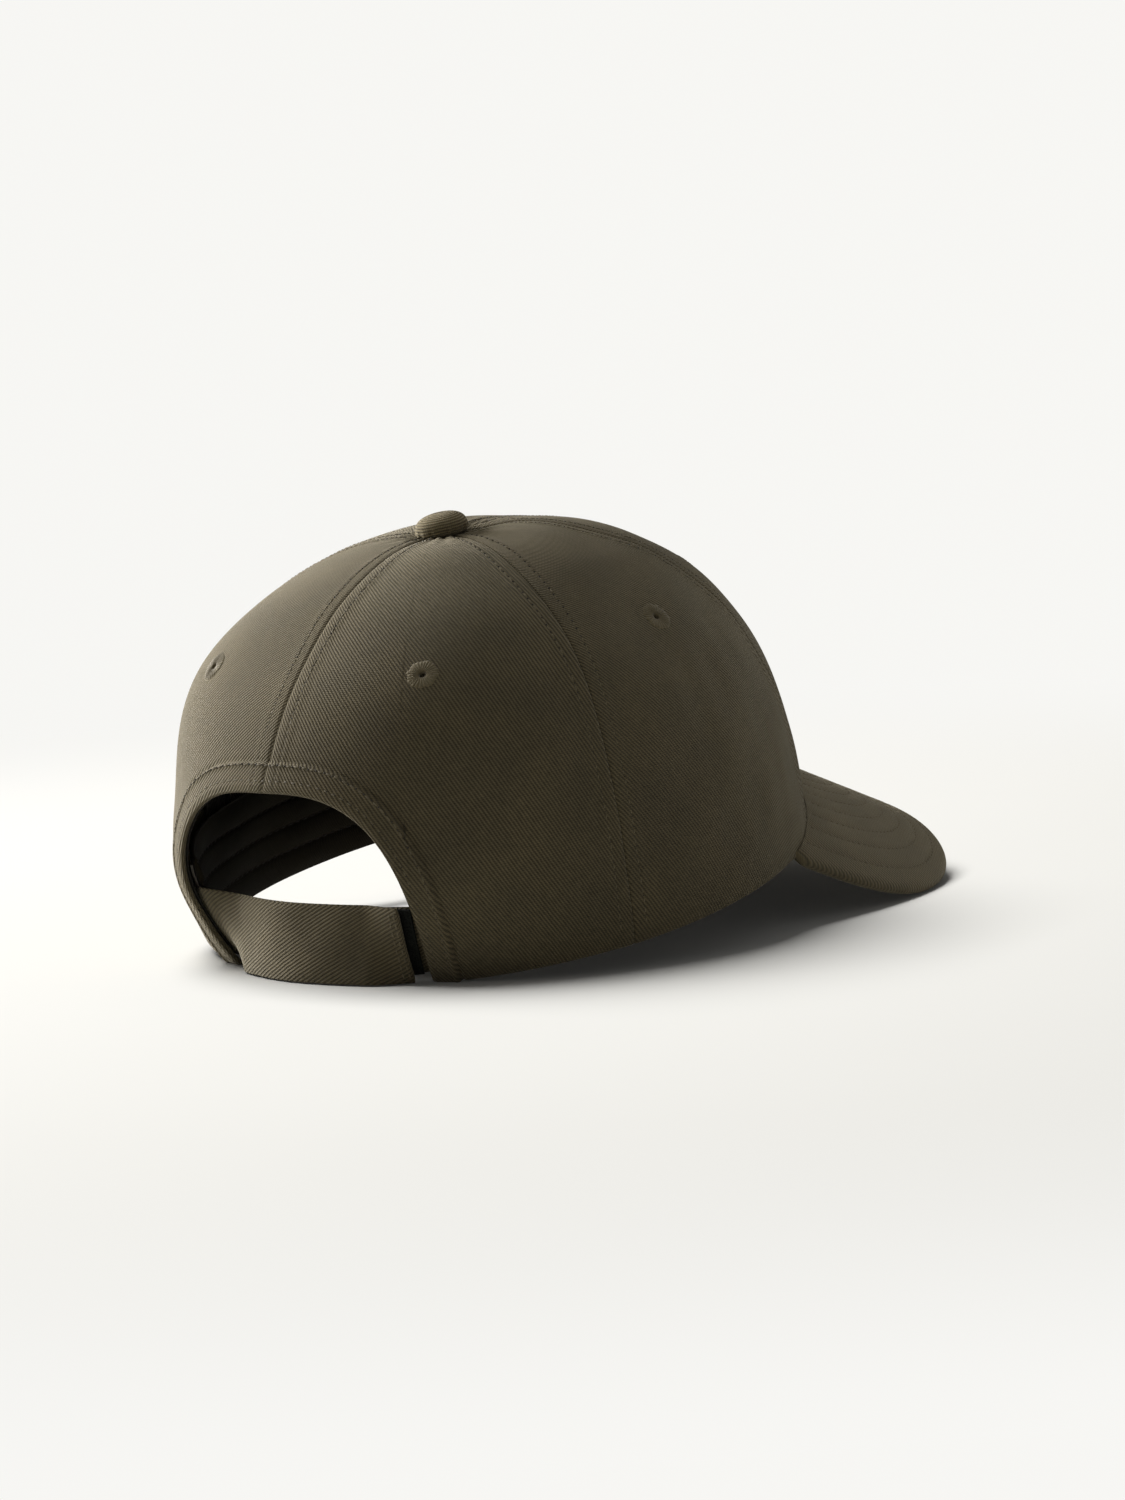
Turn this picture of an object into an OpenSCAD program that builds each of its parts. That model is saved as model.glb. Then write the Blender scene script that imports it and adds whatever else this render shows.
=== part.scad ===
// Six-panel baseball cap, standing on its rear edge and on the sides of its visor.
// +Z is up, the visor points to -Y, and +X is the wearer's left.
// The origin is the middle of the head opening, on the surface that the cap stands on.
// Azimuths are in degrees: 0 is the middle of the front, and they grow towards the
// wearer's right (-X), so the middle of the rear is 180.

/* [Crown] */
// Half the width of the crown at its base
half_width = 84; // [81:0.5:87]
// Half the length of the crown at its base
half_length = 98; // [95:0.5:101]
// Height of the crown over its base plane
crown_height = 112; // [106:1:118]
// Lean of the crown towards the rear as it stands
lean = 4.8; // [4:0.1:5.6]
// Depth of the dip round the top button
dip = 1.7; // [1:0.1:2.4]
// How far the rear panels swell out at their shoulders, as a share of the radius
fullness = 0.053; // [0:0.001:0.06]
// How far the strap pulls in the rear edge, as a share of the radius
tuck = 0.28; // [0.2:0.01:0.32]
// Thickness of the panel cloth
cloth = 1.0; // [0.7:0.05:1.0]
// Azimuth of the seam between a front and a side panel
front_seam = 50; // [48:1:58]
// Azimuth of the seam between a side and a rear panel
side_seam = 109.5; // [104:0.5:114]

/* [Eyelets] */
// Outer radius of an embroidered eyelet
eyelet_r = 4.4; // [3.6:0.1:5]
// Radius of the hole in an eyelet
eyelet_hole_r = 1.2; // [0.9:0.1:1.5]
// Height of the eyelets up the crown, from 0 at the base to 1 at the top
eyelet_height = 0.49; // [0.44:0.01:0.54]
// Azimuth of the eyelet of a side panel
side_eyelet = 82.75; // [76:0.25:88]

/* [Button] */
// Radius of the covered top button
button_r = 7; // [6:0.1:8]
// Height of the top button
button_h = 4.6; // [4.4:0.1:5.5]
// How far the top button leans over
button_tilt = 7; // [0:0.5:7]

/* [Rear opening] */
// Half the width of the opening, as an azimuth
opening_half = 32; // [30:0.5:34]
// Height of the opening
opening_h = 55.6; // [50:0.2:60]
// Width of the tape that finishes the opening
opening_tape_w = 9; // [7:0.5:11]

/* [Strap] */
// Height of the strap
strap_h = 21.4; // [18:0.1:23]
// Thickness of the folded strap
strap_t = 1.1; // [0.9:0.05:1.1]
// How far the strap bows out behind the opening
strap_bow = 9; // [7:0.5:11]

/* [Visor] */
// Length of the visor beyond the front of the crown
visor_length = 57; // [54:0.5:60]
// Half the width of the visor
visor_half = 76.4; // [75.5:0.1:78]
// Slope of the visor's middle line
visor_slope = 21; // [20.5:0.1:21]
// Radius that the visor is curved to
visor_curve_r = 92; // [91:0.5:95]
// Thickness of the visor board
board_t = 1.8; // [1.4:0.1:2]
// Thickness of the cloth on each side of the board
visor_cloth = 0.8; // [0.6:0.05:0.9]

/* [Sweatband] */
// Height of the sweatband
sweatband_h = 31; // [26:0.5:34]

/* [Hidden] */
// The crown surface: exponents at the front, side and rear
radius_power = [0.817, 0.83, 1.026];
height_power = [0.6, 0.726, 0.866];
crown_axis_y = 4.4;
dip_reach = 0.4;
tuck_power = 2.4;
tuck_h = 44.5;
lean_axis_y = 68.6;
// The swelling: where it starts, is fullest and ends up the crown, its azimuth and its spread
full_h = [42, 80, 112];
full_azimuth = 130;
full_spread = 27;
panel_top = 0.985;
row_power = 1.35;

// Depths below the crown surface of what lies inside the panels
buckram_d = [cloth + 0.05, cloth + 0.45];
opening_tape_d = [cloth + 0.55, cloth + 0.85];
seam_tape_d = [cloth + 1.0, cloth + 1.4];
tab_d = [cloth + 1.25, cloth + 2.05];
sweat_core_d = [cloth + 2.65, cloth + 3.2];
sweat_face_d = [cloth + 3.3, cloth + 4.05];
label_d = [cloth + 4.2, cloth + 4.45];
seam_tape_w = 16;
seam_tape_top = 0.905;
// How far a seam tape stops short of the lower edge
seam_tape_short = 2;
// Degrees of azimuth in one millimetre round the rear of the crown
deg_per_mm = 0.667;

// Outer radius of an eyelet's barrel, and how far a rear eyelet is off its panel's middle
eyelet_barrel_r = eyelet_hole_r + 0.7;
rear_eyelet_shift = 1.5;

// Lower edge of the crown: height at the visor's corner, and where it reaches the base
corner_h = 11.15;
corner_azimuth = 61.7;
edge_end = 141.4;
opening_power = 2.95;

// Outline of the visor: its widest point behind the corner, and its squareness
visor_back = -6.3;
visor_power = 2.85;
visor_gap = 0.3;
visor_corner_gap = 1.5;
// Width of the rim where the two covers meet, and the share of the rows given to it
rim_w = 2.2;
rim_v = 0.1;
// Least share of its thickness that the visor keeps where it is cut upright
steepest = 0.8;
board_half = board_t / 2;
visor_skin = board_half + visor_cloth;

// Strap stations, from -1 at the wearer's right edge of the opening to 1 at the left
strap_base_z = 0.7;
strap_free_end = -0.88;
peel_at = -0.2;
swing_at = 0.5;
strap_sewn_end = 1.2;
tab_sewn_end = -1.2;
tab_free_end = -0.06;
hinge_gap = 0.011;
upright_to = 0.6;
// Past the opening's edges, degrees of azimuth in one station
sewn_deg = 38;
// Depth of the strap over the tab, and the stations between which it goes inside the crown
proud = -1.1;
dive_from = -0.1;
dive_to = 0.85;
// Hook tape on the strap's end, and loop tape on the tab
tape_margin = 1;
hook_from = -0.85;
hook_to = -0.26;
hook_d = [proud + strap_t + 0.2, proud + strap_t + 0.7];
loop_from = -0.95;
loop_to = -0.14;
loop_d = [cloth, cloth + 0.6];

// ---- Helpers ----

function mix(a, b, k) = a + (b - a) * k;
function clamp01(x) = min(1, max(0, x));
function ease(x) = let (c = clamp01(x)) c * c * (3 - 2 * c);
function unit(v) = v / norm(v);
function steps(a, b, n) = [for (i = [0:n]) mix(a, b, i / n)];
// Azimuth folded to 0..180 on either side of the front
function off_front(tau) = let (a = tau % 360) min(a, 360 - a);

// ---- Crown surface ----

// A value that changes from front to side to rear
function round_crown(tau, v) =
  let (c = cos(tau))
  v[1] + (v[0] - v[1]) * pow(max(0, c), 2) + (v[2] - v[1]) * pow(max(0, -c), 2);

// How much of the swelling there is at a height
function swelling(tau, h) =
  fullness * exp(-pow((off_front(tau) - full_azimuth) / full_spread, 2))
  * ease((h - full_h[0]) / (full_h[1] - full_h[0]))
  * (1 - ease((h - full_h[1]) / (full_h[2] - full_h[1])));

// Point of the crown surface, t from 0 at the base plane to 1 at the top
function crown(tau, t) =
  let (
    h = crown_height * pow(sin(90 * t), round_crown(tau, height_power)),
    pull = tuck * pow(max(0, -cos(tau)), tuck_power) * pow(max(0, 1 - h / tuck_h), 2),
    r = pow(cos(90 * t), round_crown(tau, radius_power)) * (1 - pull) + swelling(tau, h),
    x = -half_width * sin(tau) * r,
    y = mix(crown_axis_y, -half_length * cos(tau), r),
    z = h - dip * pow(max(0, 1 - r / dip_reach), 2)
  )
  leaned([x, y, z]);

function leaned(p) =
  let (y = p.y - lean_axis_y)
  [p.x, lean_axis_y + y * cos(lean) + p.z * sin(lean), p.z * cos(lean) - y * sin(lean)];

// Unit normal of the crown surface, pointing into the crown
function crown_in(tau, t) =
  let (dt = 0.004, da = 0.5, lo = max(t - dt, 0), hi = min(t + dt, 0.999))
  unit(cross(crown(tau + da, t) - crown(tau - da, t), crown(tau, hi) - crown(tau, lo)));

// Point at depth d below the crown surface
function crown_at(tau, t, d) = crown(tau, t) + d * crown_in(tau, t);

// The t of a height over the base plane
function t_at(tau, h) = asin(pow(clamp01(h / crown_height), 1 / round_crown(tau, height_power))) / 90;

// ---- Visor surface ----

visor_corner = crown(corner_azimuth, t_at(corner_azimuth, corner_h));

function visor_shape(x, y) =
  tan(visor_slope) * (y + half_length)
  - (visor_curve_r - sqrt(pow(visor_curve_r, 2) - x * x)) / cos(visor_slope);
visor_rise = visor_corner.z - visor_shape(visor_corner.x, visor_corner.y);
function visor_z(x, y) = visor_rise + visor_shape(x, y);

// Unit normal of the visor surface, pointing down
function visor_down(x, y) =
  let (fall = -x / sqrt(pow(visor_curve_r, 2) - x * x) / cos(visor_slope))
  unit([fall, tan(visor_slope), -1]);

// Height over the base plane where the crown meets the visor, closed in on step by step
function visor_seam_h(tau, h, n) =
  let (p = crown(tau, t_at(tau, h)))
  n == 0 ? h : visor_seam_h(tau, h + 0.7 * (visor_z(p.x, p.y) - p.z), n - 1);

// Height over the base plane of the crown's lower edge
function edge_h(tau) =
  let (a = off_front(tau))
  a < corner_azimuth ? visor_seam_h(tau, corner_h, 14)
  : corner_h * clamp01((edge_end - a) / (edge_end - corner_azimuth));

// Height of the rear opening's edge, grown outwards by some degrees and millimetres
function opening_edge_h(tau, grow_a, grow_h) =
  let (k = clamp01(abs(off_front(tau) - 180) / (opening_half + grow_a)))
  (opening_h + grow_h) * pow(1 - pow(k, opening_power), 1 / opening_power);

function lower_t(tau) = t_at(tau, max(edge_h(tau), opening_edge_h(tau, 0, 0)));

// ---- Sheets ----

// Closed solid between two depths of a surface: place(u, v, d) gives a point at depth d,
// and outer(v) and inner(v) give the two depths. u runs along us, and v along vs.
module sheet(place, us, vs, outer, inner) {
  n = len(us);
  m = len(vs);
  points = concat(
    [for (v = vs) for (u = us) place(u, v, outer(v))],
    [for (v = vs) for (u = us) place(u, v, inner(v))]
  );
  function at(side, i, j) = side * n * m + i * n + j;
  function two(a, b, c, d) = [[a, b, c], [a, c, d]];
  skin = [for (i = [0:m - 2]) for (j = [0:n - 2]) each two(
    at(0, i, j), at(0, i, j + 1), at(0, i + 1, j + 1), at(0, i + 1, j))];
  back = [for (i = [0:m - 2]) for (j = [0:n - 2]) each two(
    at(1, i, j), at(1, i + 1, j), at(1, i + 1, j + 1), at(1, i, j + 1))];
  rows = [for (j = [0:n - 2]) each concat(
    two(at(0, 0, j), at(1, 0, j), at(1, 0, j + 1), at(0, 0, j + 1)),
    two(at(0, m - 1, j), at(0, m - 1, j + 1), at(1, m - 1, j + 1), at(1, m - 1, j)))];
  ends = [for (i = [0:m - 2]) each concat(
    two(at(0, i, 0), at(0, i + 1, 0), at(1, i + 1, 0), at(1, i, 0)),
    two(at(0, i, n - 1), at(1, i, n - 1), at(1, i + 1, n - 1), at(0, i + 1, n - 1)))];
  polyhedron(points, concat(skin, back, rows, ends), convexity = 6);
}

module even_sheet(place, us, vs, depths) {
  sheet(place, us, vs, function(v) depths[0], function(v) depths[1]);
}

// ---- Crown parts ----

// Rows up a panel, closer together near its lower edge
function rows_up(n) = [for (v = steps(0, 1, n)) pow(v, row_power)];
crown_rows = rows_up(17);

// Azimuths of the columns over the opening's right half, close together at its foot
opening_columns = [for (a = steps(0, 90, 10)) 180 - opening_half * pow(cos(a), 2 / opening_power)];
rear_side_columns = [for (a = steps(side_seam, 180 - opening_half, 6)) if (a < 179.9 - opening_half) a];
rear_columns = concat(rear_side_columns, opening_columns);

function mirrored(columns) = [for (i = [len(columns) - 1:-1:0]) 360 - columns[i]];

// Sheet of the crown over some columns and rows of a panel, with a round hole at its eyelet
module crown_sheet(columns, rows, depths, hole_at, hole_r) {
  difference() {
    even_sheet(function(tau, v, d) crown_at(tau, mix(lower_t(tau), panel_top, v), d),
               columns, rows, depths);
    at_crown(hole_at, eyelet_height) cylinder(r = hole_r, h = 8, center = true, $fn = 48);
  }
}

module panel(columns, hole_at) {
  color("#4a4234") crown_sheet(columns, crown_rows, [0, cloth], hole_at, eyelet_barrel_r);
}

// Puts children on the crown surface, +Z outwards
module at_crown(tau, t) {
  p = crown(tau, t);
  n = -crown_in(tau, t);
  translate(p) rotate([0, acos(n.z), atan2(n.y, n.x)]) children();
}

front_columns = steps(0, front_seam, 12);
side_columns = steps(front_seam, side_seam, 12);
eyelet_azimuths = [front_seam / 2, side_eyelet, (180 + side_seam) / 2 - rear_eyelet_shift];

module panel_front_right() { panel(front_columns, eyelet_azimuths[0]); }
module panel_side_right() { panel(side_columns, eyelet_azimuths[1]); }
module panel_rear_right() { panel(rear_columns, eyelet_azimuths[2]); }
module panel_rear_left() { panel(mirrored(rear_columns), 360 - eyelet_azimuths[2]); }
module panel_side_left() { panel(mirrored(side_columns), 360 - eyelet_azimuths[1]); }
module panel_front_left() { panel(mirrored(front_columns), 360 - eyelet_azimuths[0]); }

// Stiff open-weave lining of a front panel: the panel's columns and rows without the outermost ones
function inner_ones(list) = [for (i = [1:len(list) - 2]) list[i]];

module buckram(columns, hole_at) {
  color("#26231c")
  crown_sheet(inner_ones(columns), inner_ones(crown_rows), buckram_d, hole_at, eyelet_barrel_r + 0.4);
}
module buckram_right() { buckram(front_columns, eyelet_azimuths[0]); }
module buckram_left() { buckram(mirrored(front_columns), 360 - eyelet_azimuths[0]); }

// Distance of a point of the crown from the line through its top and the middle of its base
function off_axis(p) = norm([p.x, p.y - mix(0, crown(0, 1).y, p.z / crown_height)]);

// Tape over the inside of a seam, from the lower edge to just short of the top
module seam_tape(azimuth) {
  foot = t_at(azimuth, seam_tape_short + max(edge_h(azimuth), opening_edge_h(azimuth, 0, 0)));
  color("#3b3529")
  even_sheet(
    function(w, v, d)
      let (t = mix(foot, seam_tape_top, v), r = off_axis(crown(azimuth, t)))
      crown_at(azimuth + 2 * asin(w / 2 / r), t, d),
    steps(-seam_tape_w / 2, seam_tape_w / 2, 2), rows_up(17), seam_tape_d
  );
}
module seam_tape_front() { seam_tape(360); }
module seam_tape_front_right() { seam_tape(front_seam); }
module seam_tape_side_right() { seam_tape(side_seam); }
module seam_tape_rear() { seam_tape(180); }
module seam_tape_side_left() { seam_tape(360 - side_seam); }
module seam_tape_front_left() { seam_tape(360 - front_seam); }

// Ring of stitches round an air hole, through the panel
module eyelet(azimuth) {
  color("#5a5340")
  at_crown(azimuth, eyelet_height)
  rotate_extrude($fn = 64)
  polygon([
    [eyelet_hole_r, -cloth - 0.3], [eyelet_barrel_r, -cloth - 0.3], [eyelet_barrel_r, -0.1],
    [eyelet_r, -0.1], [eyelet_r, 0.2], [eyelet_r - 0.4, 0.5], [eyelet_r - 1.4, 0.7],
    [eyelet_barrel_r, 0.6], [eyelet_hole_r, 0.2]
  ]);
}
module eyelet_front_right() { eyelet(eyelet_azimuths[0]); }
module eyelet_side_right() { eyelet(eyelet_azimuths[1]); }
module eyelet_rear_right() { eyelet(eyelet_azimuths[2]); }
module eyelet_rear_left() { eyelet(360 - eyelet_azimuths[2]); }
module eyelet_side_left() { eyelet(360 - eyelet_azimuths[1]); }
module eyelet_front_left() { eyelet(360 - eyelet_azimuths[0]); }

// ---- Top button ----

button_lift = 2.2;
button_leans_to = 229.5;
button_cloth = 0.8;
shell_t = 0.6;
shank_r = 1.5;

module at_top() {
  translate(crown(0, 1))
  rotate([-lean, 0, 0])
  rotate(button_tilt, [cos(button_leans_to), -sin(button_leans_to), 0])
  children();
}

// Half section of a dome of radius r and height h, with a rounded rim
function dome(r, h, n) = [for (a = steps(0, 90, n)) [r * pow(cos(a), 0.8), h * pow(sin(a), 0.8)]];

module button_cover() {
  color("#4a4234")
  at_top() translate([0, 0, button_lift])
  rotate_extrude($fn = 64)
  polygon(concat(
    dome(button_r, button_h, 8),
    [for (a = steps(90, 0, 6))
      [(button_r - button_cloth) * pow(cos(a), 0.8), 0.05 + (button_h - button_cloth) * pow(sin(a), 0.8)]],
    [[button_r - 2.4, 0.05], [button_r - 2.4, -0.5], [button_r - 0.8, -0.5]]
  ));
}

module button_shell() {
  r = button_r - button_cloth - 0.1;
  h = button_h - button_cloth - 0.1;
  color("silver")
  at_top() translate([0, 0, button_lift + 0.1])
  rotate_extrude($fn = 64)
  polygon(concat(dome(r, h, 6), [for (a = steps(90, 0, 6))
    [(r - shell_t) * pow(cos(a), 0.8), (h - shell_t) * pow(sin(a), 0.8)]]));
}

// Shank through the crown, with a head in the button and a washer inside the crown
module button_rivet() {
  head_r = 3.2;
  head_z = button_lift + 1.8;
  washer_r = 5.5;
  washer_z = -3.2;
  color("silver")
  at_top()
  rotate_extrude($fn = 64)
  polygon([
    [0, head_z + 0.6], [head_r, head_z + 0.6], [head_r, head_z], [shank_r, head_z],
    [shank_r, washer_z + 0.2], [washer_r, washer_z], [washer_r, washer_z - 0.6], [0, washer_z - 1]
  ]);
}

// ---- Sweatband, label and opening tape ----

band_end = 180 - opening_half - 1;
band_columns = steps(-band_end, band_end, 44);

function band(tau, h, d) = crown_at(tau, t_at(tau, edge_h(tau) + h), d);

module sweatband_core() {
  color("#d8d2c4")
  even_sheet(function(tau, v, d) band(tau + 360, mix(2, sweatband_h - 2, v), d),
             band_columns, steps(0, 1, 4), sweat_core_d);
}

module sweatband_face() {
  color("#2c271d")
  even_sheet(function(tau, v, d) band(tau + 360, mix(0.6, sweatband_h, v), d),
             band_columns, steps(0, 1, 4), sweat_face_d);
}

// Label sewn behind the sweatband on the wearer's right
module care_label() {
  label_azimuths = steps(72, 86, 4);
  label_low = sweatband_h - 12;
  label_high = sweatband_h + 14;
  color("#e6e2d8")
  even_sheet(function(tau, v, d) band(tau, mix(label_low, label_high, v), d),
             label_azimuths, steps(0, 1, 4), label_d);
}

// Tape folded along the inside of the opening's edge
module opening_tape() {
  color("#3b3529")
  even_sheet(
    function(a, w, d)
      let (
        sweep = (opening_half + deg_per_mm * w) * pow(abs(cos(a)), 2 / opening_power) * sign(cos(a)),
        h = (opening_h + w) * pow(abs(sin(a)), 2 / opening_power)
      )
      crown_at(180 - sweep, t_at(180 - sweep, h), d),
    steps(2, 178, 32), steps(0, opening_tape_w, 2), opening_tape_d
  );
}

// ---- Visor ----

visor_depth = half_length + visor_length + visor_corner.y + visor_back;

// Outer edge in plan, u from -1 to 1
function visor_edge(u) =
  let (
    a = 90 * u,
    r = pow(pow(abs(sin(a)) / visor_half, visor_power) + pow(abs(cos(a)) / visor_depth, visor_power),
            -1 / visor_power)
  )
  [-r * sin(a), visor_corner.y + visor_back - r * cos(a)];

// Inner edge in plan, along the crown, a little further from it at the corners
function visor_root(u) =
  let (
    tau = corner_azimuth * u + 360,
    p = crown_at(tau, t_at(tau, edge_h(tau)), -visor_gap - visor_corner_gap * pow(abs(u), 6))
  )
  [p.x, p.y];

// v runs from 0 at the outer edge to 1 at the crown, where the sheet is cut upright except at its corners
function visor(u, v, d) =
  let (
    edge = visor_edge(u),
    root = visor_root(u),
    rim_share = rim_w / norm(root - edge),
    share = v < rim_v ? rim_share * v / rim_v : mix(rim_share, 1, (v - rim_v) / (1 - rim_v)),
    p = mix(edge, root, share),
    down = visor_down(p.x, p.y),
    way = unit(mix(down, [0, 0, -1], pow(v, 5) * (1 - pow(abs(u), 6))))
  )
  [p.x, p.y, visor_z(p.x, p.y)] + way * d / max(steepest, way * down);

visor_columns = steps(-1, 1, 30);
board_rows = concat([rim_v], steps(0.2, 1, 5));
cover_rows = concat([0, 0.3 * rim_v, 0.8 * rim_v], board_rows);

// Depth of a cover's outside and inside: the two covers meet beyond the board
function skin_d(v) = visor_skin * (0.12 + 0.88 * sqrt(1 - pow(1 - clamp01(v / rim_v), 2)));
function lining_of(v) = v < rim_v ? 0.02 : board_half + 0.02;

module visor_top_cover() {
  color("#4c4538")
  sheet(function(u, v, d) visor(u, v, d), visor_columns, cover_rows,
        function(v) -skin_d(v), function(v) -lining_of(v));
}

module visor_under_cover() {
  color("#453e31")
  sheet(function(u, v, d) visor(u, v, d), visor_columns, cover_rows,
        function(v) lining_of(v), function(v) skin_d(v));
}

module visor_board() {
  color("#dcdad2")
  even_sheet(function(u, v, d) visor(u, v, d), visor_columns, board_rows, [-board_half, board_half]);
}

// ---- Strap and tab ----

// Foot of the opening's edge at a height over the base
function opening_foot(h) = let (a = 180 - opening_half) crown(a, t_at(a, h));

// Middle surface of the strap: upright in its middle, and leaning with the crown at its ends
function strap_line(s, z) =
  let (
    lean_share = ease((abs(s) - upright_to) / (1 - upright_to)),
    foot = opening_foot(mix(strap_base_z + strap_h / 2, z, lean_share))
  )
  [-s * foot.x, foot.y + strap_bow * (1 - s * s), z];

function strap_in(s, z) =
  let (
    along = strap_line(s + 0.01, z) - strap_line(s - 0.01, z),
    up = strap_line(s, z + 0.5) - strap_line(s, z - 0.5)
  )
  unit(cross(along, up));

// Past the opening's edges the cloth runs on inside the crown
function strap_at(s, z, d) =
  abs(s) <= 1 ? strap_line(s, z) + d * strap_in(s, z)
  : let (tau = 180 + sign(s) * (opening_half + (abs(s) - 1) * sewn_deg)) crown_at(tau, t_at(tau, z), d);

// The strap comes out from inside the crown and ends proud of the tab
function strap_d(s) = mix(proud, tab_d[0], ease((s - dive_from) / (dive_to - dive_from)));

strap_rows = steps(0, 1, 4);

module strap_part(from, to, n) {
  color("#443d30")
  even_sheet(function(s, v, d) strap_at(s, strap_base_z + strap_h * v, strap_d(s) + d),
             steps(from, to, n), strap_rows, [0, strap_t]);
}
module strap_sewn_part() { strap_part(swing_at + hinge_gap, strap_sewn_end, 10); }
module strap_middle() { strap_part(peel_at + hinge_gap, swing_at - hinge_gap, 8); }
module strap_end() { strap_part(strap_free_end, peel_at - hinge_gap, 8); }

module strap_tape(from, to, depths) {
  even_sheet(function(s, v, d) strap_at(s, strap_base_z + mix(tape_margin, strap_h - tape_margin, v), d),
             steps(from, to, 8), strap_rows, depths);
}
module hook_tape() { color("#15140e") strap_tape(hook_from, hook_to, hook_d); }
module loop_tape() { color("#1b1a12") strap_tape(loop_from, loop_to, loop_d); }
module tab() {
  color("#2b261b")
  even_sheet(function(s, v, d) strap_at(s, strap_base_z + strap_h * v, d),
             steps(tab_sewn_end, tab_free_end, 14), strap_rows, tab_d);
}

panel_front_right();
panel_side_right();
panel_rear_right();
panel_rear_left();
panel_side_left();
panel_front_left();
buckram_right();
buckram_left();
seam_tape_front();
seam_tape_front_right();
seam_tape_side_right();
seam_tape_rear();
seam_tape_side_left();
seam_tape_front_left();
eyelet_front_right();
eyelet_side_right();
eyelet_rear_right();
eyelet_rear_left();
eyelet_side_left();
eyelet_front_left();
button_cover();
button_shell();
button_rivet();
sweatband_core();
sweatband_face();
care_label();
opening_tape();
visor_top_cover();
visor_board();
visor_under_cover();
strap_sewn_part();
strap_middle();
strap_end();
hook_tape();
tab();
loop_tape();
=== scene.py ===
"""Olive twill baseball cap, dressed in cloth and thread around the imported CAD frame.

Lengths in the cap's own formulas are millimetres and azimuths are degrees, as in the CAD:
0 is the middle of the front, azimuths grow towards the wearer's right (-X), 180 is the rear.
Depths are measured from the crown's surface inwards.
"""
import math

import bpy
import numpy as np
from mathutils import Matrix, Vector
from mathutils.kdtree import KDTree


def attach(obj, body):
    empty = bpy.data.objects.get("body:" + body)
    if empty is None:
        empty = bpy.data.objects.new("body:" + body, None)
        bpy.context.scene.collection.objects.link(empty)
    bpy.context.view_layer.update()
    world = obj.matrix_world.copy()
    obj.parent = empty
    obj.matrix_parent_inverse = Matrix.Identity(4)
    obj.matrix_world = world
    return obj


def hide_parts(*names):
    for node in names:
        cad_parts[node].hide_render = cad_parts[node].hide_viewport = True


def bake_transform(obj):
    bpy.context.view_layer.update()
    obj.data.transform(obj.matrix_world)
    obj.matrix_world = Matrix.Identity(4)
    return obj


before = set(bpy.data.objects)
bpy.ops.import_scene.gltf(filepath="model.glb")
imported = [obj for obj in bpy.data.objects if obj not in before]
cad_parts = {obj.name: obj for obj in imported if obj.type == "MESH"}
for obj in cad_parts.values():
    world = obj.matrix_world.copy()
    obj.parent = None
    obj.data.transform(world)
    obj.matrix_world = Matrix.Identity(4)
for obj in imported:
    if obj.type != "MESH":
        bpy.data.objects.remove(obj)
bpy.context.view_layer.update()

MM = 0.001
TURN = 2 * math.pi
SEED = 11
rng = np.random.default_rng(SEED)

# ---- Sizes shared with the CAD ----

HALF_WIDTH = 84.0
HALF_LENGTH = 98.0
CROWN_HEIGHT = 112.0
LEAN = 4.8
LEAN_AXIS_Y = 68.6
DIP = 1.7
DIP_REACH = 0.4
FULLNESS = 0.053
FULL_H = (42.0, 80.0, 112.0)
FULL_AZIMUTH = 130.0
FULL_SPREAD = 27.0
TUCK = 0.28
TUCK_POWER = 2.4
TUCK_H = 44.5
CROWN_AXIS_Y = 4.4
RADIUS_POWER = (0.817, 0.83, 1.026)
HEIGHT_POWER = (0.6, 0.726, 0.866)
PANEL_TOP = 0.985
CLOTH = 1.0
FRONT_SEAM = 50.0
SIDE_SEAM = 109.5
SEAMS = (0.0, FRONT_SEAM, SIDE_SEAM, 180.0, 360 - SIDE_SEAM, 360 - FRONT_SEAM, 360.0)

CORNER_H = 11.15
CORNER_AZIMUTH = 61.7
EDGE_END = 141.4
OPENING_HALF = 32.0
OPENING_H = 55.6
OPENING_POWER = 2.95
DEG_PER_MM = 0.667

EYELET_T = 0.49
EYELETS = {
    "front_right": FRONT_SEAM / 2,
    "side_right": 82.75,
    "rear_right": (180 + SIDE_SEAM) / 2 - 1.5,
    "rear_left": 360 - (180 + SIDE_SEAM) / 2 + 1.5,
    "side_left": 360 - 82.75,
    "front_left": 360 - FRONT_SEAM / 2,
}

VISOR_LENGTH = 57.0
VISOR_HALF = 76.4
VISOR_SLOPE = 21.0
VISOR_FALL = math.tan(math.radians(VISOR_SLOPE))
VISOR_CURVE_R = 92.0
VISOR_BACK = -3.0
VISOR_POWER = 2.85
VISOR_SKIN = 1.7
VISOR_GRAIN = 62
BOARD_HALF = 0.9
RIM_W = 2.2
RIM_V = 0.1

STRAP_BASE_Z = 0.7
STRAP_H = 21.4
STRAP_T = 1.1
STRAP_GRAIN = -29
STRAP_BOW = 9.0
STRAP_FREE_END = -0.88
STRAP_SEWN_END = 1.2
SWING_AT = 0.5
PEEL_AT = -0.2
UPRIGHT_TO = 0.6
PROUD = -1.1
TAB_D = (CLOTH + 1.25, CLOTH + 2.05)
SWEATBAND_H = 31.0


# ---- Helpers ----


def mix(a, b, k):
    return a + (b - a) * k


def ease(x):
    c = np.clip(x, 0, 1)
    return c * c * (3 - 2 * c)


def rise(x, a, b):
    """0 before a, 1 after b, and smooth between them."""
    return ease((x - a) / (b - a))


def bell(x, width):
    return np.exp(-((x / width) ** 2))


def sin_deg(a):
    return np.sin(np.radians(a))


def cos_deg(a):
    return np.cos(np.radians(a))


def unit(v):
    return v / np.maximum(np.linalg.norm(v, axis=-1, keepdims=True), 1e-9)


def stack(*parts):
    return np.stack(np.broadcast_arrays(*parts), axis=-1)


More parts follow.
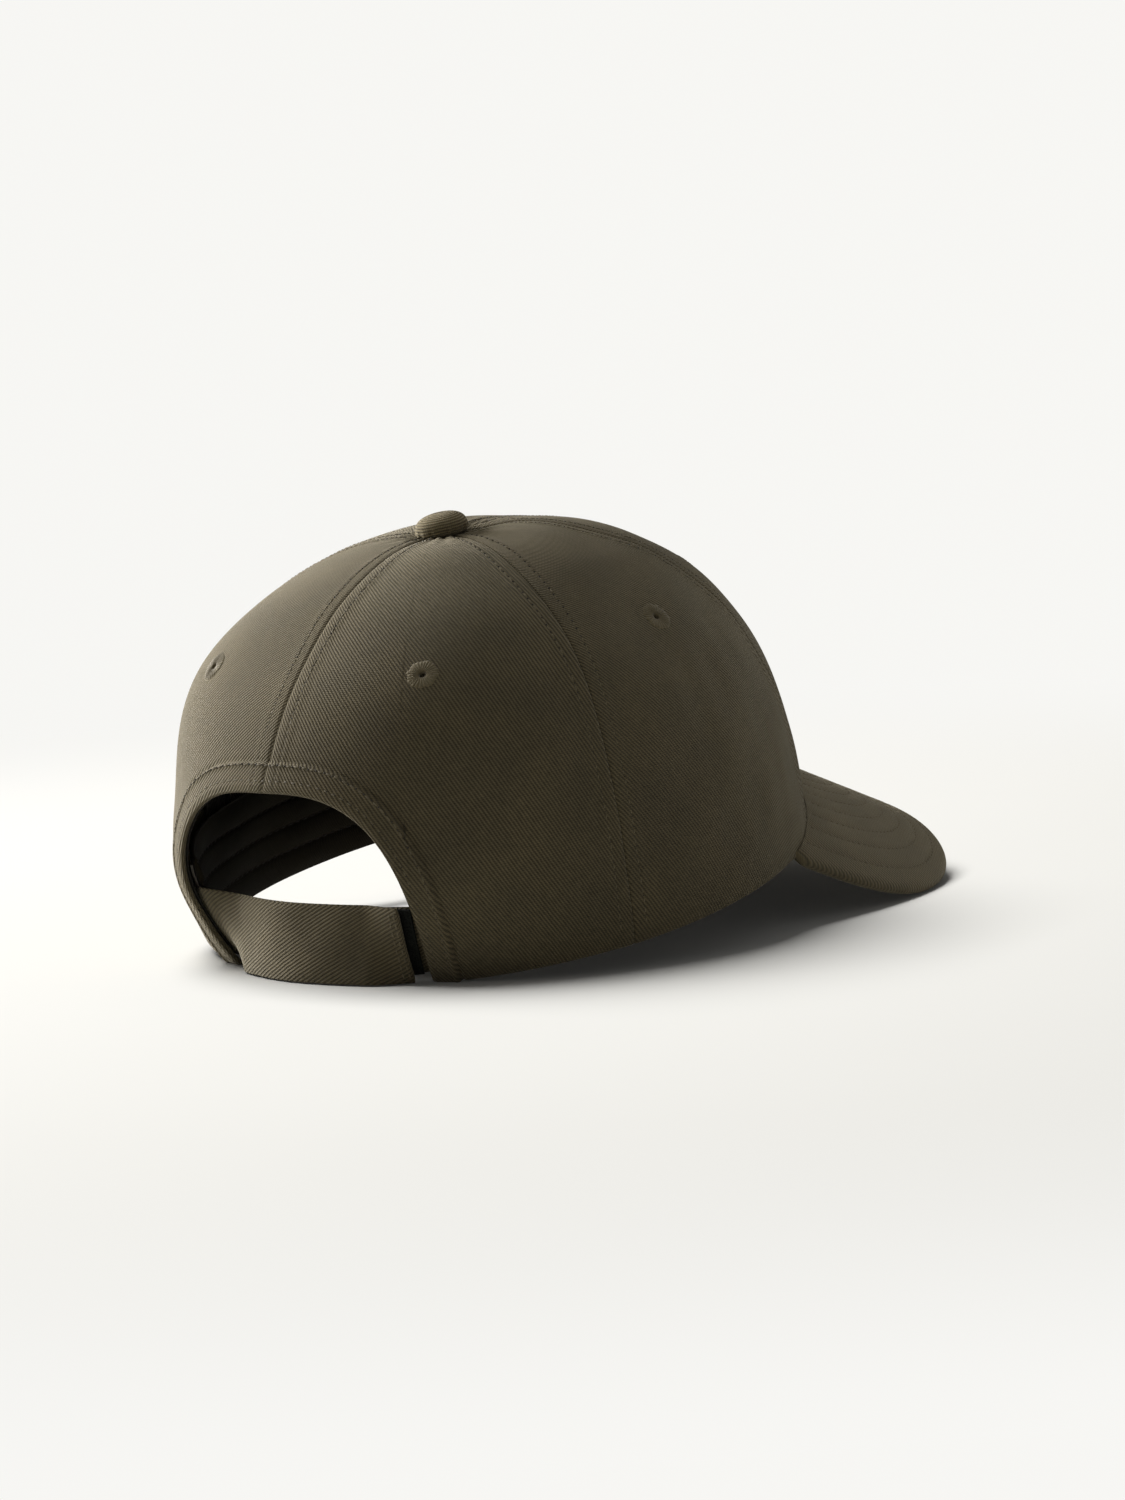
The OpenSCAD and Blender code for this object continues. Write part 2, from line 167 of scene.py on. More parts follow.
def lengths_along(points):
    """Distance travelled along a row of points, starting from 0."""
    return np.concatenate([[0], np.cumsum(np.linalg.norm(np.diff(points, axis=0), axis=1))])


def grid(across, up):
    """Two rows of values as grids: the first changes along the columns, the second along the rows."""
    return np.broadcast_arrays(across[None, :], up[:, None])


def circle(turns):
    """Angles once round, with the last on top of the first."""
    return TURN * np.arange(turns + 1) / turns


# ---- Crown surface ----


def round_crown(tau, values):
    """A value that changes from front to side to rear."""
    c = cos_deg(tau)
    front = np.maximum(0, c) ** 2
    rear = np.maximum(0, -c) ** 2
    return values[1] + (values[0] - values[1]) * front + (values[2] - values[1]) * rear


def leaned(x, y, z):
    y = y - LEAN_AXIS_Y
    c, s = cos_deg(LEAN), sin_deg(LEAN)
    return stack(x, LEAN_AXIS_Y + y * c + z * s, z * c - y * s)


def off_front(tau):
    a = np.mod(tau, 360)
    return np.minimum(a, 360 - a)


def swelling(tau, h):
    """How far the rear panels swell out at their shoulders, as a share of the radius."""
    start, full, end = FULL_H
    height = ease((h - start) / (full - start)) * (1 - ease((h - full) / (end - full)))
    return FULLNESS * bell(off_front(tau) - FULL_AZIMUTH, FULL_SPREAD) * height


def crown(tau, t):
    """Point of the crown, t from 0 at its base to 1 at its top."""
    tau, t = np.asarray(tau, float), np.clip(t, 0, 1)
    h = CROWN_HEIGHT * sin_deg(90 * t) ** round_crown(tau, HEIGHT_POWER)
    pull = TUCK * np.maximum(0, -cos_deg(tau)) ** TUCK_POWER * np.maximum(0, 1 - h / TUCK_H) ** 2
    r = np.maximum(cos_deg(90 * t), 0) ** round_crown(tau, RADIUS_POWER) * (1 - pull) + swelling(tau, h)
    x = -HALF_WIDTH * sin_deg(tau) * r
    y = mix(CROWN_AXIS_Y, -HALF_LENGTH * cos_deg(tau), r)
    z = h - DIP * np.maximum(0, 1 - r / DIP_REACH) ** 2
    return leaned(x, y, z)


def crown_out(tau, t):
    """Unit normal of the crown, pointing out of it."""
    lo, hi = np.maximum(t - 0.004, 0), np.minimum(t + 0.004, 0.999)
    across = crown(tau + 0.5, t) - crown(tau - 0.5, t)
    up = crown(tau, hi) - crown(tau, lo)
    return -unit(np.cross(across, up))


def t_at(tau, h):
    share = np.clip(h / CROWN_HEIGHT, 0, 1)
    return np.degrees(np.arcsin(share ** (1 / round_crown(tau, HEIGHT_POWER)))) / 90


CORNER = crown(CORNER_AZIMUTH, t_at(CORNER_AZIMUTH, CORNER_H))


def visor_shape(x, y):
    x = np.clip(x, -VISOR_CURVE_R + 1, VISOR_CURVE_R - 1)
    sag = VISOR_CURVE_R - np.sqrt(VISOR_CURVE_R**2 - x * x)
    return VISOR_FALL * (y + HALF_LENGTH) - sag / cos_deg(VISOR_SLOPE)


def visor_z(x, y):
    return CORNER[2] - visor_shape(CORNER[0], CORNER[1]) + visor_shape(x, y)


def edge_h(tau):
    """Height over the base plane of the crown's lower edge."""
    a = off_front(tau)
    h = np.full(np.shape(a), CORNER_H)
    for _ in range(14):
        p = crown(tau, t_at(tau, h))
        h = h + 0.7 * (visor_z(p[..., 0], p[..., 1]) - p[..., 2])
    behind = CORNER_H * np.clip((EDGE_END - a) / (EDGE_END - CORNER_AZIMUTH), 0, 1)
    return np.where(a < CORNER_AZIMUTH, h, behind)


def opening_edge_h(tau):
    k = np.clip(np.abs(off_front(tau) - 180) / OPENING_HALF, 0, 1)
    return OPENING_H * (1 - k**OPENING_POWER) ** (1 / OPENING_POWER)


def lower_t(tau):
    return t_at(tau, np.maximum(edge_h(tau), opening_edge_h(tau)))


def arch(a, w):
    """Azimuth and t of the rear opening's edge, widened by w, with a from 0 to 180 over it."""
    c, s = cos_deg(a), sin_deg(a)
    sweep = (OPENING_HALF + DEG_PER_MM * w) * np.abs(c) ** (2 / OPENING_POWER) * np.sign(c)
    tau = 180 - sweep
    return tau, t_at(tau, (OPENING_H + w) * np.abs(s) ** (2 / OPENING_POWER))


def mm_per_deg(tau, t):
    return np.linalg.norm(crown(tau + 0.5, t) - crown(tau - 0.5, t), axis=-1)


# ---- Slack and relief of the crown's cloth ----

# Soft waves: each has a direction, a wavelength, a phase and a height
WAVES = [
    (unit(rng.normal(size=3)), rng.uniform(24, 62), rng.uniform(0, 6.28), rng.uniform(0.06, 0.16))
    for _ in range(10)
]


def waves(points):
    return sum(tall * np.sin(points @ way * TURN / long + phase) for way, long, phase, tall in WAVES)


def seam_share(tau):
    """Where an azimuth lies between two seams, from 0 to 1."""
    return np.interp(np.mod(tau, 360), SEAMS, np.arange(len(SEAMS))) % 1


def slack(tau, t):
    """How far the whole thickness of the crown stands out of the smooth crown surface."""
    points = crown(tau, t)
    front = off_front(tau)
    puff = 0.4 * sin_deg(180 * seam_share(tau)) - 0.2
    puff = puff * rise(t, 0.0, 0.3) * (1 - rise(t, 0.88, 0.99))
    low = rise(t, 0.02, 0.12) * (1 - rise(t, 0.3, 0.55))
    near_corner = rise(front, 58, 66) * (1 - rise(front, 84, 98))
    uneven = 0.6 + 0.4 * np.sin(points[..., 2] / 9.0 + points[..., 1] / 14.0)
    folds = 0.12 * sin_deg((front - 60) * 360 / 9.5 + 40 * t) * low * near_corner * uneven
    pucker = 0.22 * sin_deg(18 * tau) * rise(t, 0.86, 0.95)
    crest = 1.1 * bell(front - 50, 35) * rise(t, 0.7, 0.85) * (1 - rise(t, 0.89, 0.965))
    return puff + waves(points) * rise(t, 0, 0.08) + folds + pucker + crest


def seam_distance(tau, t):
    a = np.mod(tau, 360)
    return np.min([np.abs(a - seam) * mm_per_deg(seam, t) for seam in SEAMS], axis=0)


def row_offset(t):
    """Distance of the two stitch rows beside a seam, less near the top."""
    return mix(4.0, 2.6, rise(t, 0.75, 0.96))


def tree_of(points):
    tree = KDTree(len(points))
    for i, p in enumerate(points):
        tree.insert(p, i)
    tree.balance()
    return tree


def distances(tree, points):
    flat = points.reshape(-1, 3)
    return np.array([tree.find(p)[2] for p in flat]).reshape(points.shape[:-1])


ARCH_TREE = tree_of(crown(*arch(np.linspace(0, 180, 900), 0.0)))
EDGE_TAU = np.linspace(-148, 148, 1600)
EDGE_TREE = tree_of(crown(EDGE_TAU, lower_t(EDGE_TAU)))
HEM_ROWS = (2.4, 6.3)
HEM_W = 7.4


def relief(tau, t):
    """How far the outer face stands out of the slack surface: seams, hems and stitch channels."""
    tau, t = np.broadcast_arrays(tau, t)
    points = crown(tau, t)
    x = seam_distance(tau, t)
    allowance = rise(x, 0.3, 1.2) * (1 - rise(x, row_offset(t) + 0.7, row_offset(t) + 2.0))
    crease = mix(0.32, 0.2, bell(off_front(tau) - 180, 20))
    seam = 0.14 * allowance - crease * bell(x, 0.2) - 0.16 * bell(x - row_offset(t), 0.35)
    to_arch = distances(ARCH_TREE, points)
    leg = 1 - rise(t, 0.22, 0.45)
    hem = (0.4 + 0.3 * leg) * (1 - rise(to_arch, HEM_W, HEM_W + 0.6)) - 0.2 * leg * bell(to_arch - 8.4, 0.4)
    hem = hem + leg * (0.4 * bell(to_arch - 7.0, 0.8) - 0.3 * bell(to_arch - 8.5, 0.5))
    for row in HEM_ROWS:
        hem = hem - 0.1 * bell(to_arch - row, 0.45)
    to_edge = distances(EDGE_TREE, points)
    behind = rise(off_front(tau), 60, 66)
    flare = (0.5 * bell(to_edge, 2.6) + 0.7 * bell(to_edge, 1.1)) * (1 - behind)
    roll = -0.35 * bell(to_edge, 0.9) * behind - 0.4 * bell(to_arch, 0.8)
    seam = seam * (1 - 0.2 * (1 - rise(to_arch, 3, 9)))
    return seam + hem + flare + roll


def inside(tau, t, depth):
    """Point below the slack crown surface, for what lies inside the panels."""
    return crown(tau, t) + crown_out(tau, t) * (slack(tau, t) - depth)[..., None]


def outside(tau, t, lift=0.0):
    """Point of the panels' outer face."""
    height = slack(tau, t) + relief(tau, t) + lift
    return crown(tau, t) + crown_out(tau, t) * height[..., None]


# ---- Meshes ----


def new_mesh(name, points, quads, cloth=None):
    """Mesh from points in mm and quads; cloth holds each point's place on the flat cloth, in mm."""
    quads = np.asarray(quads, np.int32)
    mesh = bpy.data.meshes.new(name)
    mesh.vertices.add(len(points))
    mesh.vertices.foreach_set("co", (np.asarray(points) * MM).astype(np.float32).ravel())
    mesh.loops.add(quads.size)
    mesh.loops.foreach_set("vertex_index", quads.ravel())
    mesh.polygons.add(len(quads))
    mesh.polygons.foreach_set("loop_start", np.arange(0, quads.size, 4, dtype=np.int32))
    mesh.update(calc_edges=True)
    mesh.polygons.foreach_set("use_smooth", np.ones(len(quads), bool))
    if cloth is not None:
        places = mesh.uv_layers.new(name="Cloth").data
        places.foreach_set("uv", np.asarray(cloth, np.float32)[quads.ravel()].ravel())
    mesh.validate()
    mesh.set_sharp_from_angle(angle=math.radians(55))
    return mesh


def add_object(name, data):
    added = bpy.data.objects.new(name, data)
    bpy.context.scene.collection.objects.link(added)
    return added


def place(name, parts, material, slot, nodes=(), body="crown"):
    """Puts a piece in the scene; parts are what new_mesh takes, and body=None leaves the piece unattached.
    """
    piece = add_object(name, new_mesh(name, *parts))
    piece.data.materials.append(material)
    if body:
        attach(piece, body)
    if nodes:
        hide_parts(*nodes)
    return piece


def grid_quads(rows, columns):
    i, j = np.meshgrid(np.arange(rows - 1), np.arange(columns - 1), indexing="ij")
    a = (i * columns + j).ravel()
    return stack(a, a + 1, a + 1 + columns, a + columns)


def one_face(points, *cloth):
    """Points and quads of a single grid, with its cloth places if there are any."""
    places = [c.reshape(-1, 2) for c in cloth]
    return (points.reshape(-1, 3), grid_quads(*points.shape[:2]), *places)


def border(rows, columns):
    """Grid places round the border, each with the place next to it inside the grid."""
    bottom = [(0, j, 1, j, "bottom") for j in range(columns)]
    right = [(i, columns - 1, i, columns - 2, "right") for i in range(1, rows)]
    top = [(rows - 1, j, rows - 2, j, "top") for j in range(columns - 2, -1, -1)]
    left = [(i, 0, i, 1, "left") for i in range(rows - 2, 0, -1)]
    return bottom + right + top + left


EDGE_STEPS = 4
ALL_ROUND = ("top", "bottom", "left", "right")


def shell(outer, inner, cloth, rounded=(), open_side=None, keep=None):
    """Points, quads and cloth places of a sheet between two grids, with rounded or square edges."""
    rows, columns = outer.shape[:2]
    count = rows * columns
    front = grid_quads(rows, columns)
    if keep is not None:
        front = front[keep.ravel()]
    ring = border(rows, columns)
    i, j, ni, nj = (np.array([place[k] for place in ring]) for k in range(4))
    side = np.array([place[4] for place in ring])
    o, n = outer[i, j], inner[i, j]
    away = unit(o - outer[ni, nj])
    half = np.linalg.norm(o - n, axis=1, keepdims=True) / 2
    bulge = half * np.isin(side, rounded)[:, None]
    points = [outer.reshape(-1, 3), inner.reshape(-1, 3)]
    places = [cloth.reshape(-1, 2)] * 2
    rings = [i * columns + j]
    for step in range(1, EDGE_STEPS):
        angle = math.pi * step / EDGE_STEPS
        points.append((o + n) / 2 + (o - n) / 2 * math.cos(angle) + away * bulge * math.sin(angle))
        places.append(cloth[i, j] + stack(half[:, 0] * step, 0))
        rings.append(2 * count + (step - 1) * len(ring) + np.arange(len(ring)))
    rings.append(count + i * columns + j)
    shown = side != open_side
    strips = [stack(a, b, np.roll(b, -1), np.roll(a, -1))[shown] for a, b in zip(rings, rings[1:])]
    quads = np.concatenate([front, front[:, ::-1] + count, *strips])
    i, j = rows // 2, columns // 2
    middle = outer[i, j]
    if np.dot(np.cross(outer[i, j + 1] - middle, outer[i + 1, j] - middle), middle - inner[i, j]) < 0:
        quads = quads[:, ::-1]
    return np.concatenate(points), quads, np.concatenate(places)


def layer(tau, t, depths, cloth, **edges):
    """A sheet inside the crown, between two depths."""
    return shell(inside(tau, t, depths[0]), inside(tau, t, depths[1]), cloth, **edges)


def turned(cloth, degrees):
    """Cloth places turned so that their second direction runs along the twill lines."""
    c, s = cos_deg(degrees), sin_deg(degrees)
    x, y = cloth[..., 0], cloth[..., 1]
    return stack(x * s - y * c, x * c + y * s)


# ---- Stitches ----

THREAD_R = 0.19
STITCH_PITCH = 2.7
STITCH_RINGS = np.array([-1, -0.8, -0.3, 0.3, 0.8, 1])
STITCH_GIRTH = np.array([0.25, 0.85, 1, 1, 0.85, 0.25])
STITCH_LIFT = np.array([-1.7, -0.3, 0.35, 0.35, -0.3, -1.7])
STITCH_SIDES = 6
STITCH_FILL = 0.66
# Size of the dark beads between stitches: painted shade in the needle holes
HOLE_SHADE_R = 0.24
HOLE_SHADE_FILL = 0.2
SUNK = -0.13


def stitch_block(centres, along, out, half_length, radius):
    """Points and quads of many stitches, each a short thread whose ends dive into the cloth."""
    side = unit(np.cross(along, out))
    rings, sides = len(STITCH_RINGS), STITCH_SIDES
    angle = circle(sides)[:-1]
    count = len(centres)
    shift = np.broadcast_to(half_length, (count,))[:, None] * STITCH_RINGS
    lift = radius * (STITCH_LIFT[:, None] + STITCH_GIRTH[:, None] * np.sin(angle))
    wide = radius * STITCH_GIRTH[:, None] * np.cos(angle) * 1.15
    points = (
        centres[:, None, None]
        + along[:, None, None] * shift[:, :, None, None]
        + out[:, None, None] * lift[None, :, :, None]
        + side[:, None, None] * wide[None, :, :, None]
    ).reshape(-1, 3)
    k, j = np.meshgrid(np.arange(rings - 1), np.arange(sides), indexing="ij")
    a = k * sides + j
    b = k * sides + (j + 1) % sides
    barrel = stack(a, b, b + sides, a + sides).reshape(-1, 4)
    first_cap = np.array([[3, 2, 1, 0], [5, 4, 3, 0]])
    last_cap = (rings - 1) * sides + np.array([[0, 1, 2, 3], [0, 3, 4, 5]])
    one = np.concatenate([barrel, first_cap, last_cap])
    quads = (one[None] + (np.arange(count) * rings * sides)[:, None, None]).reshape(-1, 4)
    return points, quads


def sew(path, out, pitch=STITCH_PITCH, radius=THREAD_R, fill=STITCH_FILL, phase=0.5):
    """Stitches along a path of points with outward normals; returns points and quads."""
    travelled = lengths_along(path)
    count = max(1, int(travelled[-1] / pitch))
    at = (np.arange(count) + phase) * travelled[-1] / count

    def found(values, shift=0.0):
        return stack(*(np.interp(at + shift, travelled, column) for column in values.T))

    normal = unit(found(out))
    along = unit(found(path, 0.4) - found(path, -0.4))
    side = np.cross(along, normal)
    centres = found(path) + side * rng.uniform(-0.07, 0.07, (count, 1))
    along = unit(along + side * rng.uniform(-0.06, 0.06, (count, 1)))
    half = travelled[-1] / count * fill / 2 * rng.uniform(0.92, 1.06, count)
    return stitch_block(centres, along, normal, half, radius)


def sew_inside(tau, t, depth, pitch=STITCH_PITCH):
    return sew(inside(tau, t, depth), -crown_out(tau, t), pitch)


hole_shade_blocks = []


def sew_panels(tau, t, lift):
    """Stitches on the panels' outer face, with dark beads between them as painted shade in the needle
    holes.
    """
    path, out = outside(tau, t, lift), crown_out(tau, t)
    stitches = sew(path, out)
    hole_shade_blocks.append(sew(path - 0.06 * out, out, radius=HOLE_SHADE_R, fill=HOLE_SHADE_FILL, phase=0.0))
    return stitches


def joined(blocks):
    """Several blocks of points and quads as one."""
    points, quads = zip(*blocks)
    starts = np.cumsum([0, *(len(p) for p in points)])
    return np.concatenate(points), np.concatenate([q + start for q, start in zip(quads, starts)])


# ---- Materials ----

WHITE = (1.0, 1.0, 1.0)


def tint(colour, factor):
    """Colour times one factor, or times one for each channel."""
    return tuple(np.multiply(colour, factor))


class Nodes:
    """Short calls for building the nodes of a material or a world."""

    def __init__(self, owner):
        owner.use_nodes = True
        self.owner = owner
        self.tree = owner.node_tree
        self.shader = self.tree.nodes.get("Principled BSDF") or self.tree.nodes["Background"]

    def feed(self, socket, value):
        """Links an output to a socket, or sets a plain value on it."""
        if isinstance(value, bpy.types.NodeSocket):
            self.tree.links.new(value, socket)
        else:
            socket.default_value = value

    def add(self, kind, inputs=None, **settings):
        """Adds a node, sets it up and returns its outputs."""
        node = self.tree.nodes.new("ShaderNode" + kind)
        for key, value in settings.items():
            setattr(node, key, value)
        for key, value in (inputs or {}).items():
            self.feed(node.inputs[key], value)
        return node.outputs

    def maths(self, operation, *values):
        return self.add("Math", dict(enumerate(values)), operation=operation)[0]

    def scaled(self, value, factor, offset=0.0):
        """Value times factor, plus offset."""
        return self.maths("MULTIPLY_ADD", value, factor, offset)

    def wave(self, value, period):
        """0 to 1 and back once a period."""
        return self.scaled(self.maths("SINE", self.scaled(value, TURN / period)), 0.5, 0.5)

    def place(self):
        """The point's place in the cap, in metres."""
        return self.add("TexCoord")["Object"]

    def noise(self, scale, detail=2.0, vector=None, rough=0.5):
        inputs = {"Scale": scale, "Detail": detail, "Roughness": rough, "Vector": vector or self.place()}
        return self.add("TexNoise", inputs)["Fac"]

    def split(self, vector):
        return self.add("SeparateXYZ", {0: vector})

    def cloth(self):
        """The point's two places on the flat cloth, in mm."""
        return self.split(self.add("UVMap", uv_map="Cloth")[0])[:2]

    def dyed(self, spread, colour, low, high):
        """Colour that a noise spreads from low times itself to high times itself."""
        node = self.tree.nodes.new("ShaderNodeValToRGB")
        for element, position, factor in zip(node.color_ramp.elements, (0.3, 0.7), (low, high)):
            element.position = position
            element.color = (*tint(colour, factor), 1)
        self.feed(node.inputs[0], spread)
        return node.outputs[0]

    def bump(self, height, distance_mm):
        normal = self.add("Bump", {"Distance": distance_mm * MM, "Strength": 1.0, "Height": height})[0]
        self.feed(self.shader.inputs["Normal"], normal)

    def finish(self, hue, tone, **sockets):
        """The material, coloured hue times tone, with its other sockets set."""
        colour = self.add("VectorMath", {0: hue, "Scale": tone}, operation="SCALE")[0]
        self.feed(self.shader.inputs["Base Color"], colour)
        for key, value in sockets.items():
            self.feed(self.shader.inputs[key.replace("_", " ")], value)
        return self.owner


def material_nodes(name):
    return Nodes(bpy.data.materials.new(name))


YARN_PERIOD = 0.7


def twill(name, colour, relief_mm=0.18, contrast=1.05, sheen=0.17, period=0.92):
    """Brushed cotton twill: slanting ribs broken into yarns, slubs, and a mottled dye."""
    n = material_nodes(name)
    across, along = n.cloth()
    across = n.scaled(n.noise(140), 0.5, across)
    rib = n.wave(across, period)
    yarn = n.wave(n.scaled(across, 0.6, along), YARN_PERIOD)
    height = n.scaled(yarn, 0.3, n.scaled(rib, 0.8))
    height = n.scaled(n.noise(2600), 0.35, height)
    tone = n.scaled(height, contrast, 0.75 - 0.72 * contrast)
    tone = n.scaled(n.noise(520, 3, rough=0.65), 0.5, tone)
    tone = n.maths("MULTIPLY", tone, n.scaled(n.noise(17), 0.12, 0.94))
    n.bump(height, relief_mm)
    return n.finish(
        n.dyed(n.noise(60, 3), colour, 0.9, (1.12, 1.1, 1.06)),
        tone,
        Roughness=0.92,
        Sheen_Weight=sheen,
        Sheen_Roughness=0.45,
        Sheen_Tint=(1.0, 0.91, 0.7, 1),
        Specular_IOR_Level=0.18,
    )


def thread(name, colour, shine=0.35, sheen=0.0):
    """Twisted sewing thread."""
    n = material_nodes(name)
    twist = n.noise(2200)
    hue, tone = n.dyed(n.noise(90), colour, 0.85, 1.15), n.scaled(twist, 0.7, 0.65)
    n.bump(twist, 0.06)
    return n.finish(hue, tone, Roughness=0.75, Sheen_Weight=sheen, Specular_IOR_Level=shine)


def felt(name, colour, grain=1400, relief_mm=0.12, rough=0.95, sheen=0.2):
    """Matted fibres, for interlining and pile."""
    n = material_nodes(name)
    fine = n.noise(grain, 4, rough=0.7)
    broad = n.noise(45, 3)
    tone = n.scaled(fine, 0.9, n.scaled(broad, 0.4, 0.35))
    hue = n.dyed(broad, colour, 0.9, 1.1)
    n.bump(fine, relief_mm)
    return n.finish(hue, tone, Roughness=rough, Sheen_Weight=sheen, Specular_IOR_Level=0.15)


def open_weave(name, colour, period=1.1):
    """Stiffened plain weave with square gaps between its yarns."""
    n = material_nodes(name)
    warp, weft = (n.wave(place, period) for place in n.cloth())
    height = n.maths("MAXIMUM", warp, weft)
    tone = n.scaled(height, 0.8, n.scaled(n.noise(1800), 0.4, 0.1))
    hue = n.dyed(n.noise(50), colour, 0.9, 1.1)
    n.bump(height, 0.2)
    return n.finish(hue, tone, Roughness=0.8, Specular_IOR_Level=0.3)


def satin(name, colour):
    """Smooth ribbon with fine lengthwise ribs."""
    n = material_nodes(name)
    rib = n.wave(n.cloth()[1], 0.35)
    tone = n.scaled(rib, 0.15, n.scaled(n.noise(70), 0.2, 0.8))
    hue = n.dyed(n.noise(30), colour, 0.95, 1)
    n.bump(rib, 0.03)
    return n.finish(hue, tone, Roughness=0.42, Sheen_Weight=0.2, Specular_IOR_Level=0.45)


def moulded(name, colour):
    """Matt moulded sheet with a faint grain."""
    n = material_nodes(name)
    grain = n.noise(900, 3)
    hue = n.dyed(n.noise(25), colour, 0.96, 1)
    n.bump(grain, 0.02)
    return n.finish(hue, n.scaled(grain, 0.12, 0.93), Roughness=0.55)


def pressed_steel(name):
    """Nickel-plated steel with fine brush marks."""
    n = material_nodes(name)
    stretched = n.add("Mapping", {"Vector": n.place(), "Scale": (900, 900, 60)})[0]
    brush = n.noise(2, 3, stretched)
    hue = n.dyed(brush, WHITE, (0.42, 0.42, 0.43), 0.6)
    n.bump(brush, 0.02)
    return n.finish(hue, 1.0, Metallic=1.0, Roughness=0.34)


OLIVE = (0.0602, 0.049, 0.0268)
olive_twill = twill("olive_twill", OLIVE)
visor_twill = twill("visor_twill", tint(OLIVE, 1.04), relief_mm=0.11, contrast=0.9)
tape_twill = twill("tape_twill", (0.008, 0.007, 0.005), relief_mm=0.1, sheen=0.05, period=1.4)
band_twill = twill("band_twill", (0.0105, 0.0078, 0.0032), relief_mm=0.08, sheen=0.05, period=0.6)
olive_thread = thread("olive_thread", tint(OLIVE, 1.5))
# The button cover is the crown's olive twill made 1.9 times lighter all over: painted light standing in for
# the light on its top
button_twill_painted_light = twill("button_twill_painted_light", tint(OLIVE, 1.9), relief_mm=0.3, period=0.85)
eyelet_thread = thread("eyelet_thread", tint(OLIVE, 1.7), shine=0.08, sheen=0.17)
hem_thread = thread("hem_thread", tint(OLIVE, 1.35))
# Dark inner thread, also used for the painted shade in the needle holes
dark_thread_and_hole_shade = thread("dark_thread_and_hole_shade", (0.016, 0.013, 0.008))
pile = felt("loop_pile", (0.004, 0.0045, 0.003), grain=1500, relief_mm=0.3, rough=0.85, sheen=0.0)
hooks = felt("hook_tape", (0.008, 0.008, 0.006), grain=1100, relief_mm=0.25, rough=0.6, sheen=0.0)
interlining = felt("interlining", (0.5, 0.46, 0.39))
buckram_weave = open_weave("buckram_weave", (0.008, 0.007, 0.005))
label_satin = satin("label_satin", (0.62, 0.6, 0.55))
board_plastic = moulded("board_plastic", (0.62, 0.61, 0.57))
steel = pressed_steel("button_steel")


# ---- Camera ----

VIEW_AZIMUTH = 220.875
VIEW_ELEVATION = 6.92
VIEW_ROLL = -3.22
VIEW_DISTANCE = 1.5
VIEW_AIM = Vector((-0.02196, -0.00636, 0.0530))
VIEW_LENS = 128.08


def make_camera():
    """Sets the camera and returns the ways to its left and away from it."""
    a, e = math.radians(VIEW_AZIMUTH), math.radians(VIEW_ELEVATION)
    back = Vector((math.sin(a) * math.cos(e), -math.cos(a) * math.cos(e), math.sin(e)))
    right = Vector((0, 0, 1)).cross(back).normalized()
    upright = Matrix((right, back.cross(right), back)).transposed()
    turn = upright @ Matrix.Rotation(math.radians(VIEW_ROLL), 3, "Z")
    camera = add_object("camera", bpy.data.cameras.new("camera"))
    camera.data.lens = VIEW_LENS
    camera.data.sensor_width = 36
    camera.data.clip_start, camera.data.clip_end = 0.05, 50
    camera.matrix_world = Matrix.Translation(VIEW_AIM + back * VIEW_DISTANCE) @ turn.to_4x4()
    bpy.context.scene.camera = camera
    return -right, -back


LEFT, AWAY = make_camera()


# ---- Crown panels ----

COARSE = 1.3
FINE = 0.2
MM_PER_DEG = 1.5
LEG_W = 9.0


def stations(length, far):
    """Places from 0 past a length, in steps that are fine where far() is 0 and coarse where it is 1."""
    places = [0.0]
    while places[-1] < length:
        places.append(places[-1] + mix(FINE, COARSE, float(ease(far(places[-1])))))
    return places


def seam_columns(left, right):
    """Azimuths across a panel, close together beside its two seams."""
    half = stations((right - left) * MM_PER_DEG / 2, lambda x: (x - 0.9) / 7)[:-1]
    half = np.array(half) / MM_PER_DEG
    return np.concatenate([left + half, (right - half)[::-1]])


def rear_columns():
    """Azimuths of the right rear panel, evenly spaced along the opening's edge as well."""
    foot = 180 - OPENING_HALF
    beside = seam_columns(SIDE_SEAM, 2 * foot - SIDE_SEAM)
    beside = np.concatenate([beside[beside < foot - LEG_W], np.arange(foot - LEG_W, foot - 0.3, 0.25)])
    tau, t = arch(np.linspace(0, 90, 4000), 0.0)
    travelled = lengths_along(crown(tau, t))
    end = travelled[-1]
    over = stations(end - 1.0, lambda x: (end - x - 1.4) / 8)
    over = np.interp([*over[:-1], end], travelled, tau)
    over[-1] = 180
    return np.concatenate([beside, over])


def mirrored(columns):
    return (360 - columns)[::-1]


PANEL_ROWS = 112
ROW_POWER = 1.35
PANEL_CUT_R = 2.3
BUCKRAM_CUT_R = 3.4


def panel_grid(columns, rows=PANEL_ROWS, first=0.0, last=1.0):
    tau, v = grid(columns, np.linspace(first, last, rows) ** ROW_POWER)
    return tau, mix(lower_t(columns), PANEL_TOP, v)


def flat_cloth(tau, t, middle):
    """Places on the panel's flat cloth: across to the wearer's left or right, and up."""
    steps = np.linspace(0, 1, 200)
    climbed = lengths_along(crown(middle, steps))
    return stack(-(tau - middle) * mm_per_deg(tau, t), np.interp(t, steps, climbed))


def cells_kept(points, azimuth, radius):
    """False for the grid cells that an eyelet's hole takes away."""
    centre = crown(azimuth, EYELET_T)
    middles = (points[:-1, :-1] + points[1:, 1:]) / 2
    return np.linalg.norm(middles - centre, axis=-1) > radius


def make_panel(where, columns, grain):
    tau, t = panel_grid(columns)
    cloth = turned(flat_cloth(tau, t, columns.mean()), grain)
    keep = cells_kept(crown(tau, t), EYELETS[where], PANEL_CUT_R)
    parts = shell(outside(tau, t), inside(tau, t, CLOTH), cloth, rounded=("bottom",), keep=keep)
    place("cloth_panel_" + where, parts, olive_twill, "twill", ["panel_" + where])


